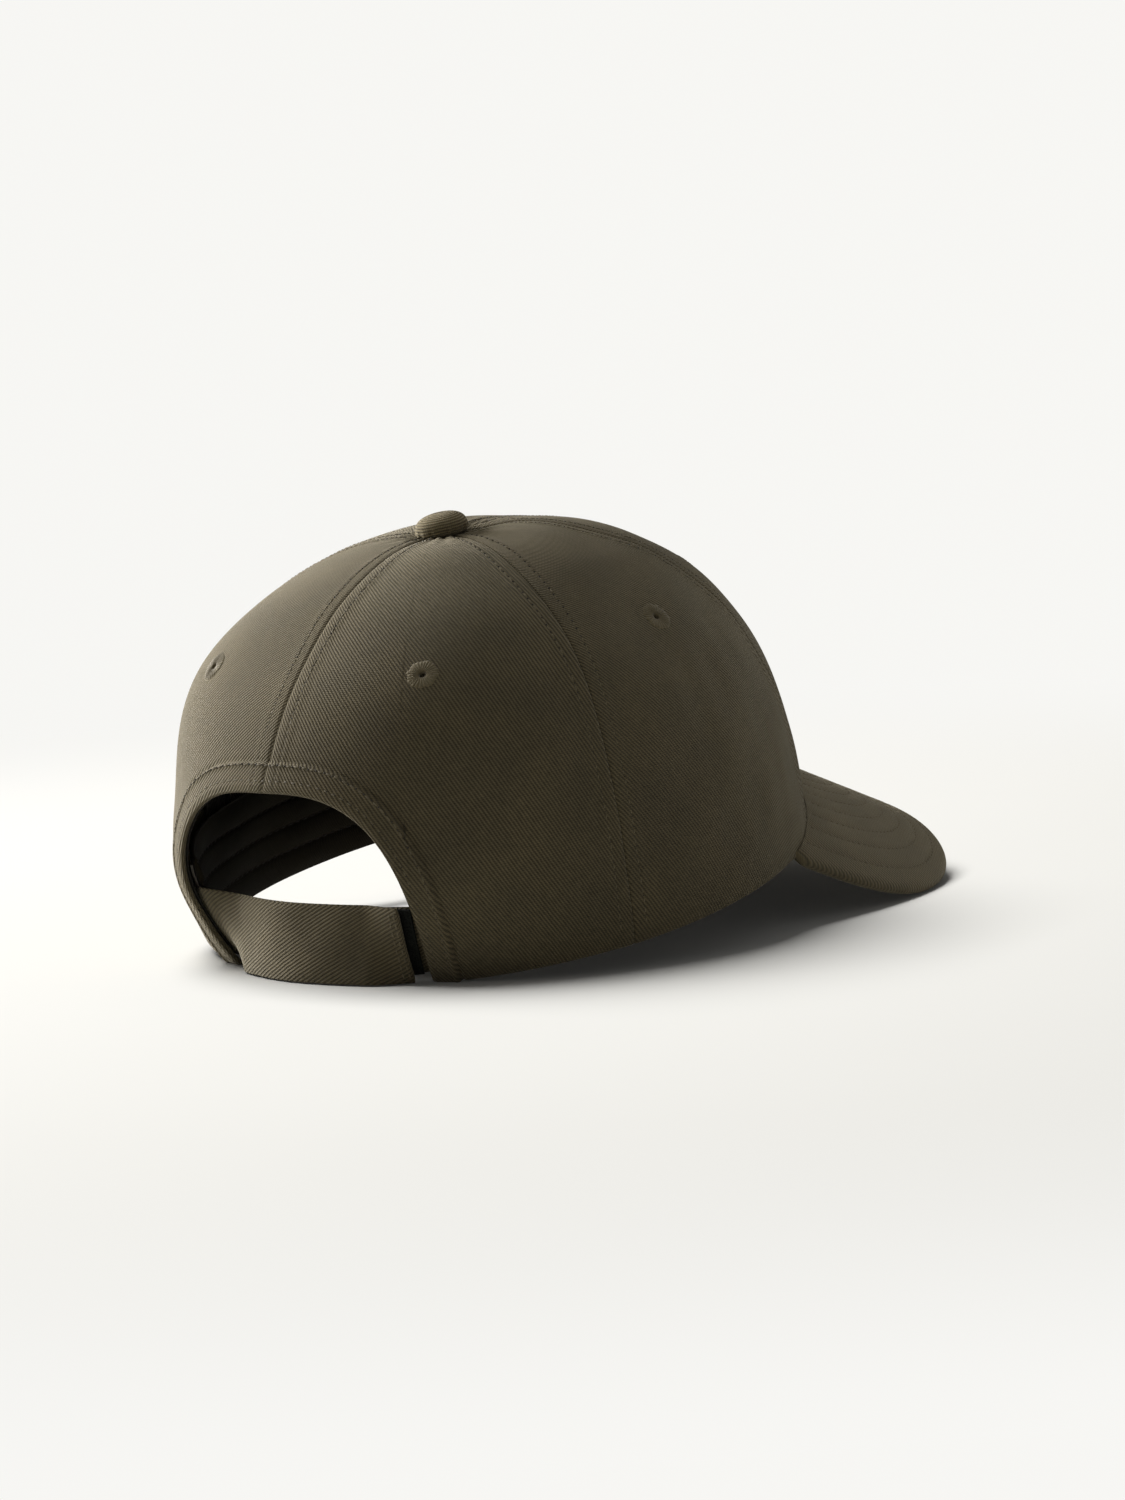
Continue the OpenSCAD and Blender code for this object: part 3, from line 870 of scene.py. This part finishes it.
GRAIN = 59
panel_columns = {
    "front_right": seam_columns(0, FRONT_SEAM),
    "side_right": seam_columns(FRONT_SEAM, SIDE_SEAM),
    "rear_right": rear_columns(),
}
for name, columns in panel_columns.items():
    make_panel(name, columns, -GRAIN)
    make_panel(name.replace("right", "left"), mirrored(columns), GRAIN)


# ---- Stitch rows on the crown ----

SEAM_FOOT = 0.012
SEAM_ROWS_TOP = 0.955


def crown_stitches():
    """Two rows beside each seam, sunk into the cloth on the lower part of the crown."""
    blocks = []
    for seam in SEAMS[:-1]:
        t = np.linspace(lower_t(seam) + SEAM_FOOT, SEAM_ROWS_TOP, 260)
        for side in (-1, 1):
            tau = seam + side * row_offset(t) / mm_per_deg(seam, t)
            blocks.append(sew_panels(tau, t, mix(SUNK, 0.06, rise(t, 0.35, 0.55))))
    place("stitching_seams", joined(blocks), olive_thread, "twill")


def arch_stitches():
    blocks = []
    for row in HEM_ROWS:
        tau, t = arch(np.linspace(1.5, 178.5, 700), row)
        keep = t > 0.006
        tau, t = tau[keep], t[keep]
        blocks.append(sew_panels(tau, t, mix(SUNK, 0.0, rise(t, 0.2, 0.4))))
    place("stitching_opening", joined(blocks), hem_thread, "twill")


crown_stitches()
arch_stitches()
# Dark beads sunk between the stitches: painted shade in the needle holes
place("needle_holes", joined(hole_shade_blocks), dark_thread_and_hole_shade, "twill")


# ---- Eyelets ----

EYELET_STITCHES = 26
# Radius, height over the cloth and share of the ridges, from under the outer edge into the hole
EYELET_PROFILE = (
    (4.5, 4.3, 3.9, 3.3, 2.6, 1.9, 1.35, 1.05, 0.95, 1.0, 2.0),
    (-0.4, -0.06, 0.08, 0.14, 0.16, 0.13, 0.03, -0.16, -0.5, -1.3, -1.4),
    (0.0, 0.5, 1.0, 1.0, 1.0, 1.0, 0.7, 0.4, 0.1, 0.0, 0.0),
)


def make_eyelet(where, azimuth):
    """Ring of stitches that run from the hole outwards, closed by a collar through the panel."""
    angle = circle(16 * EYELET_STITCHES)
    uneven = rng.uniform(0, 6.28, 2)
    phase = EYELET_STITCHES * angle + 0.9 * np.sin(2 * angle + uneven[0])
    phase = phase + 0.6 * np.sin(5 * angle + uneven[1])
    ridge = np.abs(np.cos(phase / 2)) ** 0.6 - 0.5
    which = np.floor(phase / TURN + 0.5).astype(int) % EYELET_STITCHES
    stray = rng.uniform(-0.25, 0.25, EYELET_STITCHES)[which]
    r, z, share = (np.array(values)[:, None] for values in EYELET_PROFILE)
    r = r + stray * rise(r, 2.5, 4.2)
    z = z + 0.08 + 0.22 * ridge * share
    mm_per_t = np.linalg.norm(crown(azimuth, EYELET_T + 0.01) - crown(azimuth, EYELET_T - 0.01)) / 0.02
    tau = azimuth - r * np.cos(angle) / mm_per_deg(azimuth, EYELET_T)
    points = outside(tau, EYELET_T + r * np.sin(angle) / mm_per_t, z)
    place("satin_eyelet_" + where, one_face(points), eyelet_thread, "eyelet_thread", ["eyelet_" + where])


for where, azimuth in EYELETS.items():
    make_eyelet(where, azimuth)


# ---- Top button ----

BUTTON_R = 7.4
BUTTON_H = 4.4
BUTTON_LIFT = 2.2
BUTTON_TILT = 7.0
BUTTON_LEANS_TO = 229.5


def make_button():
    """Cloth dome over a turned-in rim, pleated under the rim."""
    axis = Vector((cos_deg(BUTTON_LEANS_TO), -sin_deg(BUTTON_LEANS_TO), 0))
    tilt = Matrix.Rotation(math.radians(BUTTON_TILT), 3, axis)
    turn = np.array(Matrix.Rotation(math.radians(-LEAN), 3, "X") @ tilt)
    angle = circle(160)
    a = np.linspace(90, -62, 46)
    dome_r = BUTTON_R * np.abs(cos_deg(a)) ** 0.8
    under_r = BUTTON_R - 2.6 * (1 - cos_deg(a)) - 0.5 * rise(-a, 20, 62)
    r = np.maximum(np.where(a > 0, dome_r, under_r), 0.02)
    z = np.where(a > 0, BUTTON_H * np.abs(sin_deg(a)) ** 0.8, 2.4 * sin_deg(a))
    pleat = rise(-a, -25, 30)[:, None]
    radius = r[:, None] + pleat * (0.2 * np.sin(13 * angle) + 0.13 * np.sin(22 * angle + 1.0))
    radius = radius * (1 + 0.018 * np.sin(2 * angle + 0.7))
    height = BUTTON_LIFT + z[:, None] + 0.1 * np.sin(3 * angle + 0.5) * pleat
    points = crown(0.0, 1.0) + stack(radius * np.cos(angle), radius * np.sin(angle), height) @ turn.T
    cloth = stack(lengths_along(stack(r, z))[:, None], BUTTON_R * angle)
    place("cloth_button", one_face(points, cloth), button_twill_painted_light, "twill", ["button_cover"])


make_button()


# ---- Inside the crown ----

BUCKRAM_D = (CLOTH + 0.05, CLOTH + 0.45)


def make_buckram(where, columns):
    tau, t = panel_grid(columns[5:-5:2], rows=60, first=0.06, last=0.93)
    keep = cells_kept(crown(tau, t), EYELETS[where], BUCKRAM_CUT_R)
    parts = layer(tau, t, BUCKRAM_D, flat_cloth(tau, t, EYELETS[where]), keep=keep)
    place("lining_" + where, parts, buckram_weave, "buckram", ["buckram_" + where.split("_")[1]])


make_buckram("front_right", panel_columns["front_right"])
make_buckram("front_left", mirrored(panel_columns["front_right"]))

TAPE_D = (CLOTH + 1.0, CLOTH + 1.45)
TAPE_W = 16.0
TAPE_TOP = 0.93
TAPE_ROW = 5.0
TAPE_NAMES = ("front", "front_right", "side_right", "rear", "side_left", "front_left")
BIAS = 45


def make_seam_tape(name, seam):
    w = np.linspace(-TAPE_W / 2, TAPE_W / 2, 27)
    w, t = grid(w, np.linspace(lower_t(seam) + SEAM_FOOT, TAPE_TOP, 120))
    narrow = 1 - 0.45 * rise(t, 0.8, 0.96)
    tau = seam + w * narrow / mm_per_deg(seam, t)
    beside_row = np.abs(w) - TAPE_ROW
    ridge = 0.22 * bell(w, 1.1) + 0.25 * rise(beside_row, 0.6, 3) - 0.1 * bell(beside_row, 0.6)
    cloth = turned(stack(w, flat_cloth(tau, t, seam)[..., 1]), BIAS)
    depths = TAPE_D[0], TAPE_D[1] + ridge
    parts = layer(tau, t, depths, cloth, rounded=("left", "right"))
    place("woven_tape_" + name, parts, tape_twill, "tape_cloth", ["seam_tape_" + name])
    blocks = []
    narrow, t = narrow[:, 0], t[:, 0]
    for side in (-1, 1):
        tau = seam + side * TAPE_ROW * narrow / mm_per_deg(seam, t)
        blocks.append(sew_inside(tau, t, TAPE_D[1] - 0.08))
    return blocks


inner_rows = []
for name, seam in zip(TAPE_NAMES, SEAMS):
    inner_rows += make_seam_tape(name, seam)

BINDING_D = (CLOTH + 0.55, CLOTH + 0.9)
BINDING_W = 9.0


def make_opening_tape():
    a, w = grid(np.linspace(1.5, 178.5, 220), np.linspace(0.3, BINDING_W, 18))
    tau, t = arch(a, w)
    buckle = 0.12 * np.sin(a * 1.3) * rise(w, 6, 9) + 0.08 * np.sin(a * 0.47 + 1)
    cloth = turned(stack(lengths_along(crown(*arch(a[0], 4.0))), w), BIAS)
    depths = BINDING_D[0], BINDING_D[1] + buckle
    parts = layer(tau, t, depths, cloth, rounded=("top", "bottom"))
    place("binding_opening", parts, tape_twill, "tape_cloth", ["opening_tape"])
    blocks = []
    for row in HEM_ROWS:
        tau, t = arch(np.linspace(3, 177, 500), row)
        blocks.append(sew_inside(tau, t, BINDING_D[1] + 0.02))
    return blocks


inner_rows += make_opening_tape()
place("stitching_inside", joined(inner_rows), dark_thread_and_hole_shade, "tape_cloth")

SWEAT_CORE_D = (CLOTH + 2.65, CLOTH + 3.2)
SWEAT_FACE_D = (CLOTH + 3.3, CLOTH + 4.05)
BAND_END = 180 - OPENING_HALF - 1
BAND_ROWS = (8.0, 15.5, 23.0)
BAND_FOOT_ROW = 2.4
BAND_PITCH = 7.6
BAND_GRAIN = 60


def band_t(tau, h):
    return t_at(tau, edge_h(tau) + h)


BAND_TAU = np.linspace(-BAND_END, BAND_END, 330)
AROUND = lengths_along(crown(BAND_TAU, band_t(BAND_TAU, 15.0)))


def make_band_core():
    tau, h = grid(BAND_TAU * (BAND_END - 3) / BAND_END, np.linspace(2, SWEATBAND_H - 2, 24))
    parts = layer(tau, band_t(tau, h), SWEAT_CORE_D, stack(AROUND, h))
    place("band_interlining", parts, interlining, "interlining", ["sweatband_core"])


def make_band_face():
    """Padded face between its stitch rows, with a ruffled upper edge."""
    tau, h = grid(BAND_TAU, np.linspace(0.6, SWEATBAND_H, 64))
    swell = np.sin(h / BAND_PITCH * math.pi)
    plump = 0.9 * np.abs(swell) ** 0.7 - 0.2
    for row in BAND_ROWS:
        plump = plump - 0.35 * bell(h - row, 0.5)
    gather = 0.14 * np.sin(AROUND / 4.6 + 1.3 * np.sin(AROUND / 23)) * swell**2
    ruffle = 0.5 * np.sin(AROUND / 13.0) * rise(h, 24, 31) + 0.3 * np.sin(AROUND / 19.0 + 2)
    depths = SWEAT_FACE_D[0], SWEAT_FACE_D[1] + plump + gather + ruffle * rise(h, 16, 31)
    parts = layer(tau, band_t(tau, h), depths, turned(stack(AROUND, h), BAND_GRAIN), rounded=ALL_ROUND)
    place("band_face", parts, band_twill, "sweatband_cloth", ["sweatband_face"])

    blocks = []
    row_tau = np.linspace(-BAND_END + 1, BAND_END - 1, 900)
    sway = 0.3 * np.sin(np.interp(row_tau, BAND_TAU, AROUND) / 19.0 + 2)
    for row in (*BAND_ROWS, BAND_FOOT_ROW):
        depth = SWEAT_FACE_D[1] - 0.12 + sway * rise(row, 16, 31)
        blocks.append(sew_inside(row_tau, band_t(row_tau, row), depth, pitch=3.0))
    place("stitching_band", joined(blocks), dark_thread_and_hole_shade, "sweatband_cloth")


make_band_core()
make_band_face()

LABEL_D = (CLOTH + 5.5, CLOTH + 5.7)
LABEL_TAU = (72, 86)
LABEL_H = (SWEATBAND_H - 12, SWEATBAND_H + 14)


def make_label():
    tau, h = grid(np.linspace(*LABEL_TAU, 30), np.linspace(*LABEL_H, 48))
    t = band_t(tau, h)
    curl = 1.6 * rise(h, 24, 46) ** 2 * (0.7 + 0.3 * np.sin(tau / 4))
    parts = layer(tau, t, np.add.outer(LABEL_D, curl), flat_cloth(tau, t, np.mean(LABEL_TAU)))
    place("blank_label", parts, label_satin, "label_cloth", ["care_label"])


make_label()


# ---- Visor ----

VISOR_DEPTH = HALF_LENGTH + VISOR_LENGTH + CORNER[1] + VISOR_BACK


def visor_edge(u):
    a = 90 * u
    across = (np.abs(sin_deg(a)) / VISOR_HALF) ** VISOR_POWER
    ahead = (np.abs(cos_deg(a)) / VISOR_DEPTH) ** VISOR_POWER
    r = (across + ahead) ** (-1 / VISOR_POWER)
    return stack(-r * sin_deg(a), CORNER[1] + VISOR_BACK - r * cos_deg(a))


def visor_root(u):
    tau = CORNER_AZIMUTH * u
    t = t_at(tau, edge_h(tau))
    p = crown(tau, t) + crown_out(tau, t) * (0.3 - 0.9 * np.abs(u) ** 6)[..., None]
    return p[..., :2]


def visor_plan(u, v):
    """Place in plan: u from -1 to 1 across, v from 0 at the outer edge to 1 at the crown."""
    edge, root = visor_edge(u), visor_root(u)
    rim = np.minimum(RIM_W / np.linalg.norm(root - edge, axis=-1), 0.7)
    share = np.where(v < RIM_V, rim * v / RIM_V, mix(rim, 1, (v - RIM_V) / (1 - RIM_V)))
    return edge + (root - edge) * share[..., None]


def visor(u, v, depth):
    """Point of the visor at a depth below its middle sheet."""
    u, v, depth = np.broadcast_arrays(u, v, depth)
    x, y = np.moveaxis(visor_plan(u, v), -1, 0)
    fall = -x / np.sqrt(VISOR_CURVE_R**2 - x * x) / cos_deg(VISOR_SLOPE)
    down = unit(stack(fall, VISOR_FALL, -1))
    upright = (v**5 * (1 - np.abs(u) ** 6))[..., None]
    way = unit(down * (1 - upright) + np.array([0, 0, -1.0]) * upright)
    along = np.maximum(0.8, (way * down).sum(-1))
    return stack(x, y, visor_z(x, y)) + way * (depth / along)[..., None]


def skin_depth(v):
    return VISOR_SKIN * (0.12 + 0.88 * np.sqrt(1 - (1 - np.clip(v / RIM_V, 0, 1)) ** 2))


VISOR_END = 1.04
VISOR_PITCH = 4.7
VISOR_SEWN = np.arange(9) * VISOR_PITCH + 4.6
# Rows of the visor covers: close together over the rim, then even
VISOR_ROWS = np.concatenate([np.linspace(0, 1, 9)[:-1] ** 1.6 * RIM_V, np.linspace(RIM_V, 1, 72)])


def flattened(plan):
    return stack(plan[..., 0], plan[..., 1], 0)


RIM_TREE = tree_of(flattened(visor_edge(np.linspace(-1, 1, 400))))


def rim_distance(u, v):
    """Distance in plan from the visor's outer edge."""
    return distances(RIM_TREE, flattened(visor_plan(u, v)))


def make_visor_cover(side, name):
    u, v = grid(np.linspace(-VISOR_END, VISOR_END, 230), VISOR_ROWS)
    distance = rim_distance(u, v)
    swell = 0.1 * np.sin((distance - VISOR_SEWN[0]) / VISOR_PITCH * math.pi) ** 2 * rise(distance, 3, 6)
    channel = sum(0.08 * bell(distance - row, 0.5) for row in VISOR_SEWN) * (1 - rise(v, 0.93, 0.98))
    height = skin_depth(v) + swell - channel * rise(v, RIM_V, RIM_V * 1.6)
    height = height + 0.06 * waves(visor(u, v, 0.0) * 1.7)
    past = np.clip((np.abs(u) - 1) / (VISOR_END - 1), 0, 1)
    height = height * np.sqrt(np.maximum(1 - past**2, 0.02))
    lining = np.where((v < RIM_V) | (past > 0.2), 0.02, BOARD_HALF + 0.02)
    outer = visor(u, v, side * height)
    parts = shell(outer, visor(u, v, side * lining), turned(outer[..., :2], VISOR_GRAIN))
    place("cloth_" + name, parts, visor_twill, "visor_twill", [name])


def visor_stitches(side, name):
    v, u = grid(np.linspace(0, 1, 160), np.linspace(-0.985, 0.985, 420))
    distance = rim_distance(u, v)
    u, v = u[:, 0], v[0]
    blocks = []
    for row in VISOR_SEWN:
        reaches = distance[:, -8] > row
        at_v = np.array([np.interp(row, d, v) for d in distance[reaches]])
        depth = side * (skin_depth(at_v) + SUNK)
        path = visor(u[reaches], at_v, depth)
        out = unit(visor(u[reaches], at_v, depth + side) - path)
        blocks.append(sew(path, out, pitch=2.9))
    place(name, joined(blocks), hem_thread, "visor_twill")


make_visor_cover(-1, "visor_top_cover")
make_visor_cover(1, "visor_under_cover")
visor_stitches(-1, "stitching_visor_top")
visor_stitches(1, "stitching_visor_under")


# ---- Strap ----


def opening_foot(h):
    a = 180.0 - OPENING_HALF
    return crown(a, t_at(a, h))


def strap_line(s, z):
    share = ease((np.abs(s) - UPRIGHT_TO) / (1 - UPRIGHT_TO))
    foot = opening_foot(mix(STRAP_BASE_Z + STRAP_H / 2, z, share))
    return stack(-s * foot[..., 0], foot[..., 1] + STRAP_BOW * (1 - s * s), z)


def strap_in(s, z):
    along = strap_line(s + 0.01, z) - strap_line(s - 0.01, z)
    up = strap_line(s, z + 0.5) - strap_line(s, z - 0.5)
    return unit(np.cross(along, up))


def strap_at(s, z, depth):
    s, z, depth = np.broadcast_arrays(s, z, depth)
    open_part = strap_line(s, z) + strap_in(s, z) * depth[..., None]
    tau = 180 + np.sign(s) * (OPENING_HALF + (np.abs(s) - 1) * 38)
    t = t_at(tau, z)
    sewn_part = crown(tau, t) - crown_out(tau, t) * depth[..., None]
    return np.where((np.abs(s) <= 1)[..., None], open_part, sewn_part)


def strap_depth(s):
    return mix(PROUD, TAB_D[0], ease((s + 0.1) / 0.95))


STRAP_MIDDLE_Z = STRAP_BASE_Z + STRAP_H / 2
JOIN_AT = 0.15
BEND = 0.085
TIP_ROWS = (0.055, 0.018)
TAB_INSET = (0.4, 1.0)
TAPE_INSET = (1.0, 1.0)


def strap_travel(s):
    """Distance along the strap of each station."""
    fine = np.linspace(-1.3, 1.3, 1200)
    travelled = lengths_along(strap_at(fine, STRAP_MIDDLE_Z, strap_depth(fine)))
    return np.interp(s, fine, travelled)


def strap_relief(s, v):
    """Soft unevenness of the folded strap, with rolled long edges."""
    x = strap_travel(s)
    soft = 0.14 * np.sin(x / 6.5) * np.sin(v * 5) + 0.1 * np.sin(x / 3.7 + v * 4)
    hem = 0.3 * rise(v, 0.9, 0.95) * (1 - rise(v, 0.97, 1.0))
    return soft * rise(v, 0, 0.1) * (1 - rise(v, 0.9, 1)) + 0.12 * hem


def strap_z(v, inset=(0.0, 0.0)):
    """Height at v from 0 to 1, between margins below and above."""
    return STRAP_BASE_Z + inset[0] + (STRAP_H - sum(inset)) * v


def strap_cloth(s, z):
    return turned(stack(strap_travel(s), z), STRAP_GRAIN)


def strap_parts(start, end, columns, open_side):
    """Half of the strap's length, left open where it meets the other half."""
    v = np.linspace(0, 1, 34)
    s, v = grid(np.linspace(start, end, columns), mix(v, ease(v), 0.5))
    z = strap_z(v)
    stray = strap_relief(s, v)
    pinch = 0.28 * (bell(v, 0.06) + bell(1 - v, 0.06))
    outer = strap_at(s, z, strap_depth(s) - stray + pinch)
    inner = strap_at(s, z, strap_depth(s) + STRAP_T - 0.4 * stray - pinch)
    rounded = [side for side in ALL_ROUND if side != open_side]
    return shell(outer, inner, strap_cloth(s, z), rounded, open_side)


def blend(piece, start, end):
    """Bakes a piece's placement into its mesh; the two strap stations it works out are not used."""
    start, end = (Vector(strap_line(s, STRAP_MIDDLE_Z) * MM) for s in (start, end))
    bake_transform(piece)
    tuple(start)
    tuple(end)


def blend_peel(piece):
    blend(piece, PEEL_AT + 0.07, PEEL_AT - 0.05)


def make_strap():
    parts = strap_parts(JOIN_AT, STRAP_SEWN_END, 120, "left")
    root = place("strap_root", parts, olive_twill, "twill", ["strap_sewn_part"], body=None)
    blend(root, SWING_AT + BEND, SWING_AT - BEND)
    parts = strap_parts(STRAP_FREE_END, JOIN_AT, 110, "right")
    tip = place("strap_tip", parts, olive_twill, "twill", ["strap_middle", "strap_end"], body=None)
    blend_peel(tip)


def strap_row(s, v):
    """Stitches up the strap's outer face at station s."""
    s, v = np.broadcast_arrays(s, v)
    path = strap_at(s, strap_z(v), strap_depth(s) - strap_relief(s, v) - 0.02)
    out = strap_at(s, strap_z(v), strap_depth(s) - 1) - strap_at(s, strap_z(v), strap_depth(s))
    return sew(path, unit(out), pitch=2.5)


def make_strap_stitches():
    blocks = [strap_row(STRAP_FREE_END + row, np.linspace(0.05, 0.95, 60)) for row in TIP_ROWS]
    blend_peel(place("stitching_strap_tip", joined(blocks), olive_thread, "twill", body=None))


make_strap()
make_strap_stitches()


def make_tab():
    s, v = grid(np.linspace(-1.2, -0.06, 120), np.linspace(0, 1, 26))
    z = strap_z(v, TAB_INSET)
    pinch = 0.2 * (bell(v, 0.07) + bell(1 - v, 0.07))
    outer, inner = strap_at(s, z, TAB_D[0] + pinch), strap_at(s, z, TAB_D[1] - pinch)
    parts = shell(outer, inner, strap_cloth(s, z), rounded=ALL_ROUND)
    place("tab_cloth", parts, olive_twill, "twill", ["tab"])


LOOP_D = (CLOTH, CLOTH + 0.6)
HOOK_D = (PROUD + STRAP_T + 0.2, PROUD + STRAP_T + 0.7)


def make_touch_tape(name, start, end, depths, material, node, body, towards, height):
    """Hook or loop tape: a sheet set with short bristles or loops on one face."""
    s, v = grid(np.linspace(start, end, 60), np.linspace(0, 1, 26))
    z = strap_z(v, TAPE_INSET)
    points, quads, cloth = shell(*(strap_at(s, z, d) for d in depths), stack(strap_travel(s), z))
    count = int((strap_travel(end) - strap_travel(start)) / 0.85)
    s, v = grid(np.linspace(start, end, count + 2)[1:-1], np.linspace(0.05, 0.95, 22))
    s = s.ravel() + rng.uniform(-0.004, 0.004, s.size)
    z = strap_z(v.ravel() + rng.uniform(-0.012, 0.012, v.size), TAPE_INSET)
    face = depths[towards > 0]
    base = strap_at(s, z, face)
    out = unit(strap_at(s, z, face + towards) - base)
    along = unit(np.cross(out, unit(rng.normal(size=out.shape))))
    tufts = stitch_block(base + out * height * 0.5, along, out, 0.42, 0.13)
    cloth = np.concatenate([cloth, np.zeros((len(tufts[0]), 2))])
    parts = (*joined([(points, quads), tufts]), cloth)
    place(name, parts, material, "hook_and_loop", [node], body=body)


make_tab()
make_touch_tape("loop_side", -0.95, -0.14, LOOP_D, pile, "loop_tape", "crown", -1, 0.25)
make_touch_tape("hook_side", -0.85, -0.26, HOOK_D, hooks, "hook_tape", "strap_tip", 1, 0.2)


# ---- CAD nodes that stay ----

for node, material in (("visor_board", board_plastic), ("button_shell", steel), ("button_rivet", steel)):
    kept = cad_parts[node].data
    kept.materials.clear()
    kept.materials.append(material)


# ---- Room and light ----

FLOOR_RADIUS = 30.0
FLOOR_GLOW = (0.93, 0.925, 0.9)
# Half sizes of the ellipse under the cap where the floor glows as painted light
FOOTPRINT = (0.074, 0.088)
# Faint glow over the whole floor: painted light that lifts its shadows
SHADOW_GLOW = 0.012


def floor_paint():
    """Pale paint under the cap, with painted light in it: a glow on the floor inside the head opening where
    shade would fall, a faint glow that lifts all shadows, and an even glow further out.
    """
    n = material_nodes("floor_paint")
    x, y = n.split(n.place())[:2]

    def radius(half_x, half_y):
        across, ahead = n.scaled(x, 1 / half_x), n.scaled(y, 1 / half_y)
        return n.maths("SQRT", n.scaled(across, across, n.maths("MULTIPLY", ahead, ahead)))

    def stair(value, low, high):
        limits = {"Value": value, "From Min": low, "From Max": high}
        return n.add("MapRange", limits, interpolation_type="SMOOTHSTEP")[0]

    def less(value):
        return n.maths("SUBTRACT", 1.0, value)

    beyond = stair(radius(1.0, 1.0), 0.27, 0.6)
    # Painted light: the floor inside the head opening glows evenly, only on its front half towards the
    # wearer's left
    painted_light_under_cap = less(stair(radius(*FOOTPRINT), 0.88, 1.04))
    painted_light_under_cap = n.maths("MULTIPLY", painted_light_under_cap, stair(x, 0.025, 0.055))
    painted_light_under_cap = n.maths("MULTIPLY", painted_light_under_cap, less(stair(y, 0.0, 0.04)))
    glow = n.maths("MAXIMUM", beyond, n.maths("MAXIMUM", painted_light_under_cap, SHADOW_GLOW))
    hue = n.dyed(n.noise(3), WHITE, (0.645, 0.64, 0.622), (0.655, 0.65, 0.632))
    return n.finish(
        hue,
        less(glow),
        Emission_Color=(*FLOOR_GLOW, 1),
        Emission_Strength=glow,
        Roughness=0.9,
        Specular_IOR_Level=0.0,
    )


def make_floor():
    """Flat round floor with rings close together near the cap."""
    radii = np.array([0.001, 0.1, 0.2, 0.4, 0.7, 1.2, 2.5, 6.0, 14.0, FLOOR_RADIUS])[:, None]
    angle = circle(96)
    points, quads = one_face(stack(radii * np.cos(angle), radii * np.sin(angle), 0) / MM)
    floor = add_object("floor", new_mesh("floor", points, quads[:, ::-1]))
    floor.data.materials.append(floor_paint())
    return floor


def soft_light(name, towards, distance, size, power, colour):
    """Square area light that shines on the cap from a direction."""
    data = bpy.data.lights.new(name, "AREA")
    data.shape = "SQUARE"
    data.size = size
    data.energy = power
    data.color = colour
    light = add_object(name, data)
    way = Vector(towards).normalized()
    light.location = Vector((0, 0, 0.05)) + way * distance
    light.rotation_mode = "QUATERNION"
    light.rotation_quaternion = way.to_track_quat("Z", "Y")
    return light


SKY = 0.13


def make_world():
    """Bright haze along the horizon under a dim sky."""
    n = Nodes(bpy.data.worlds.new("studio"))
    height = n.split(n.add("TexCoord")["Generated"])[2]
    limits = {"Value": height, "From Min": 0.03, "From Max": 0.09, "To Min": 1.0, "To Max": SKY}
    n.feed(n.shader.inputs["Color"], (*FLOOR_GLOW, 1))
    n.feed(n.shader.inputs["Strength"], n.add("MapRange", limits)[0])
    bpy.context.scene.world = n.owner


WARM = (1.0, 0.98, 0.95)
UP = Vector((0, 0, 1))
# Each light's direction, distance, size, power and colour
CAP_LIGHTS = {
    "key": (LEFT * 0.85 + AWAY * 0.5 + UP * 0.42, 1.7, 0.9, 80.0, WARM),
    "top": (AWAY * 0.25 + UP, 2.0, 1.8, 25.0, WARM),
    "rim": (LEFT * 0.9 + AWAY * 1.1 + UP * 0.35, 1.8, 0.8, 38.0, (1.0, 0.98, 0.94)),
}
FLOOR_LIGHTS = {"floor_light": (AWAY * 0.2 + LEFT * 0.4 + UP, 2.0, 1.5, 72.0, (1.0, 0.995, 0.975))}


def make_light(floor):
    """A key and a rim from the cap's left, and lights from above: one for the cap and one for the floor."""
    pieces = [piece for piece in bpy.data.objects if piece.type == "MESH"]
    for name, lights in (("lit_cap", CAP_LIGHTS), ("lit_floor", FLOOR_LIGHTS)):
        lit = bpy.data.collections.new(name)
        for piece in pieces:
            if (piece == floor) == (name == "lit_floor"):
                lit.objects.link(piece)
        for light, setting in lights.items():
            soft_light(light, *setting).light_linking.receiver_collection = lit
    bpy.context.scene.view_settings.view_transform = "Standard"
    bpy.context.scene.view_settings.look = "None"


make_world()
make_light(make_floor())
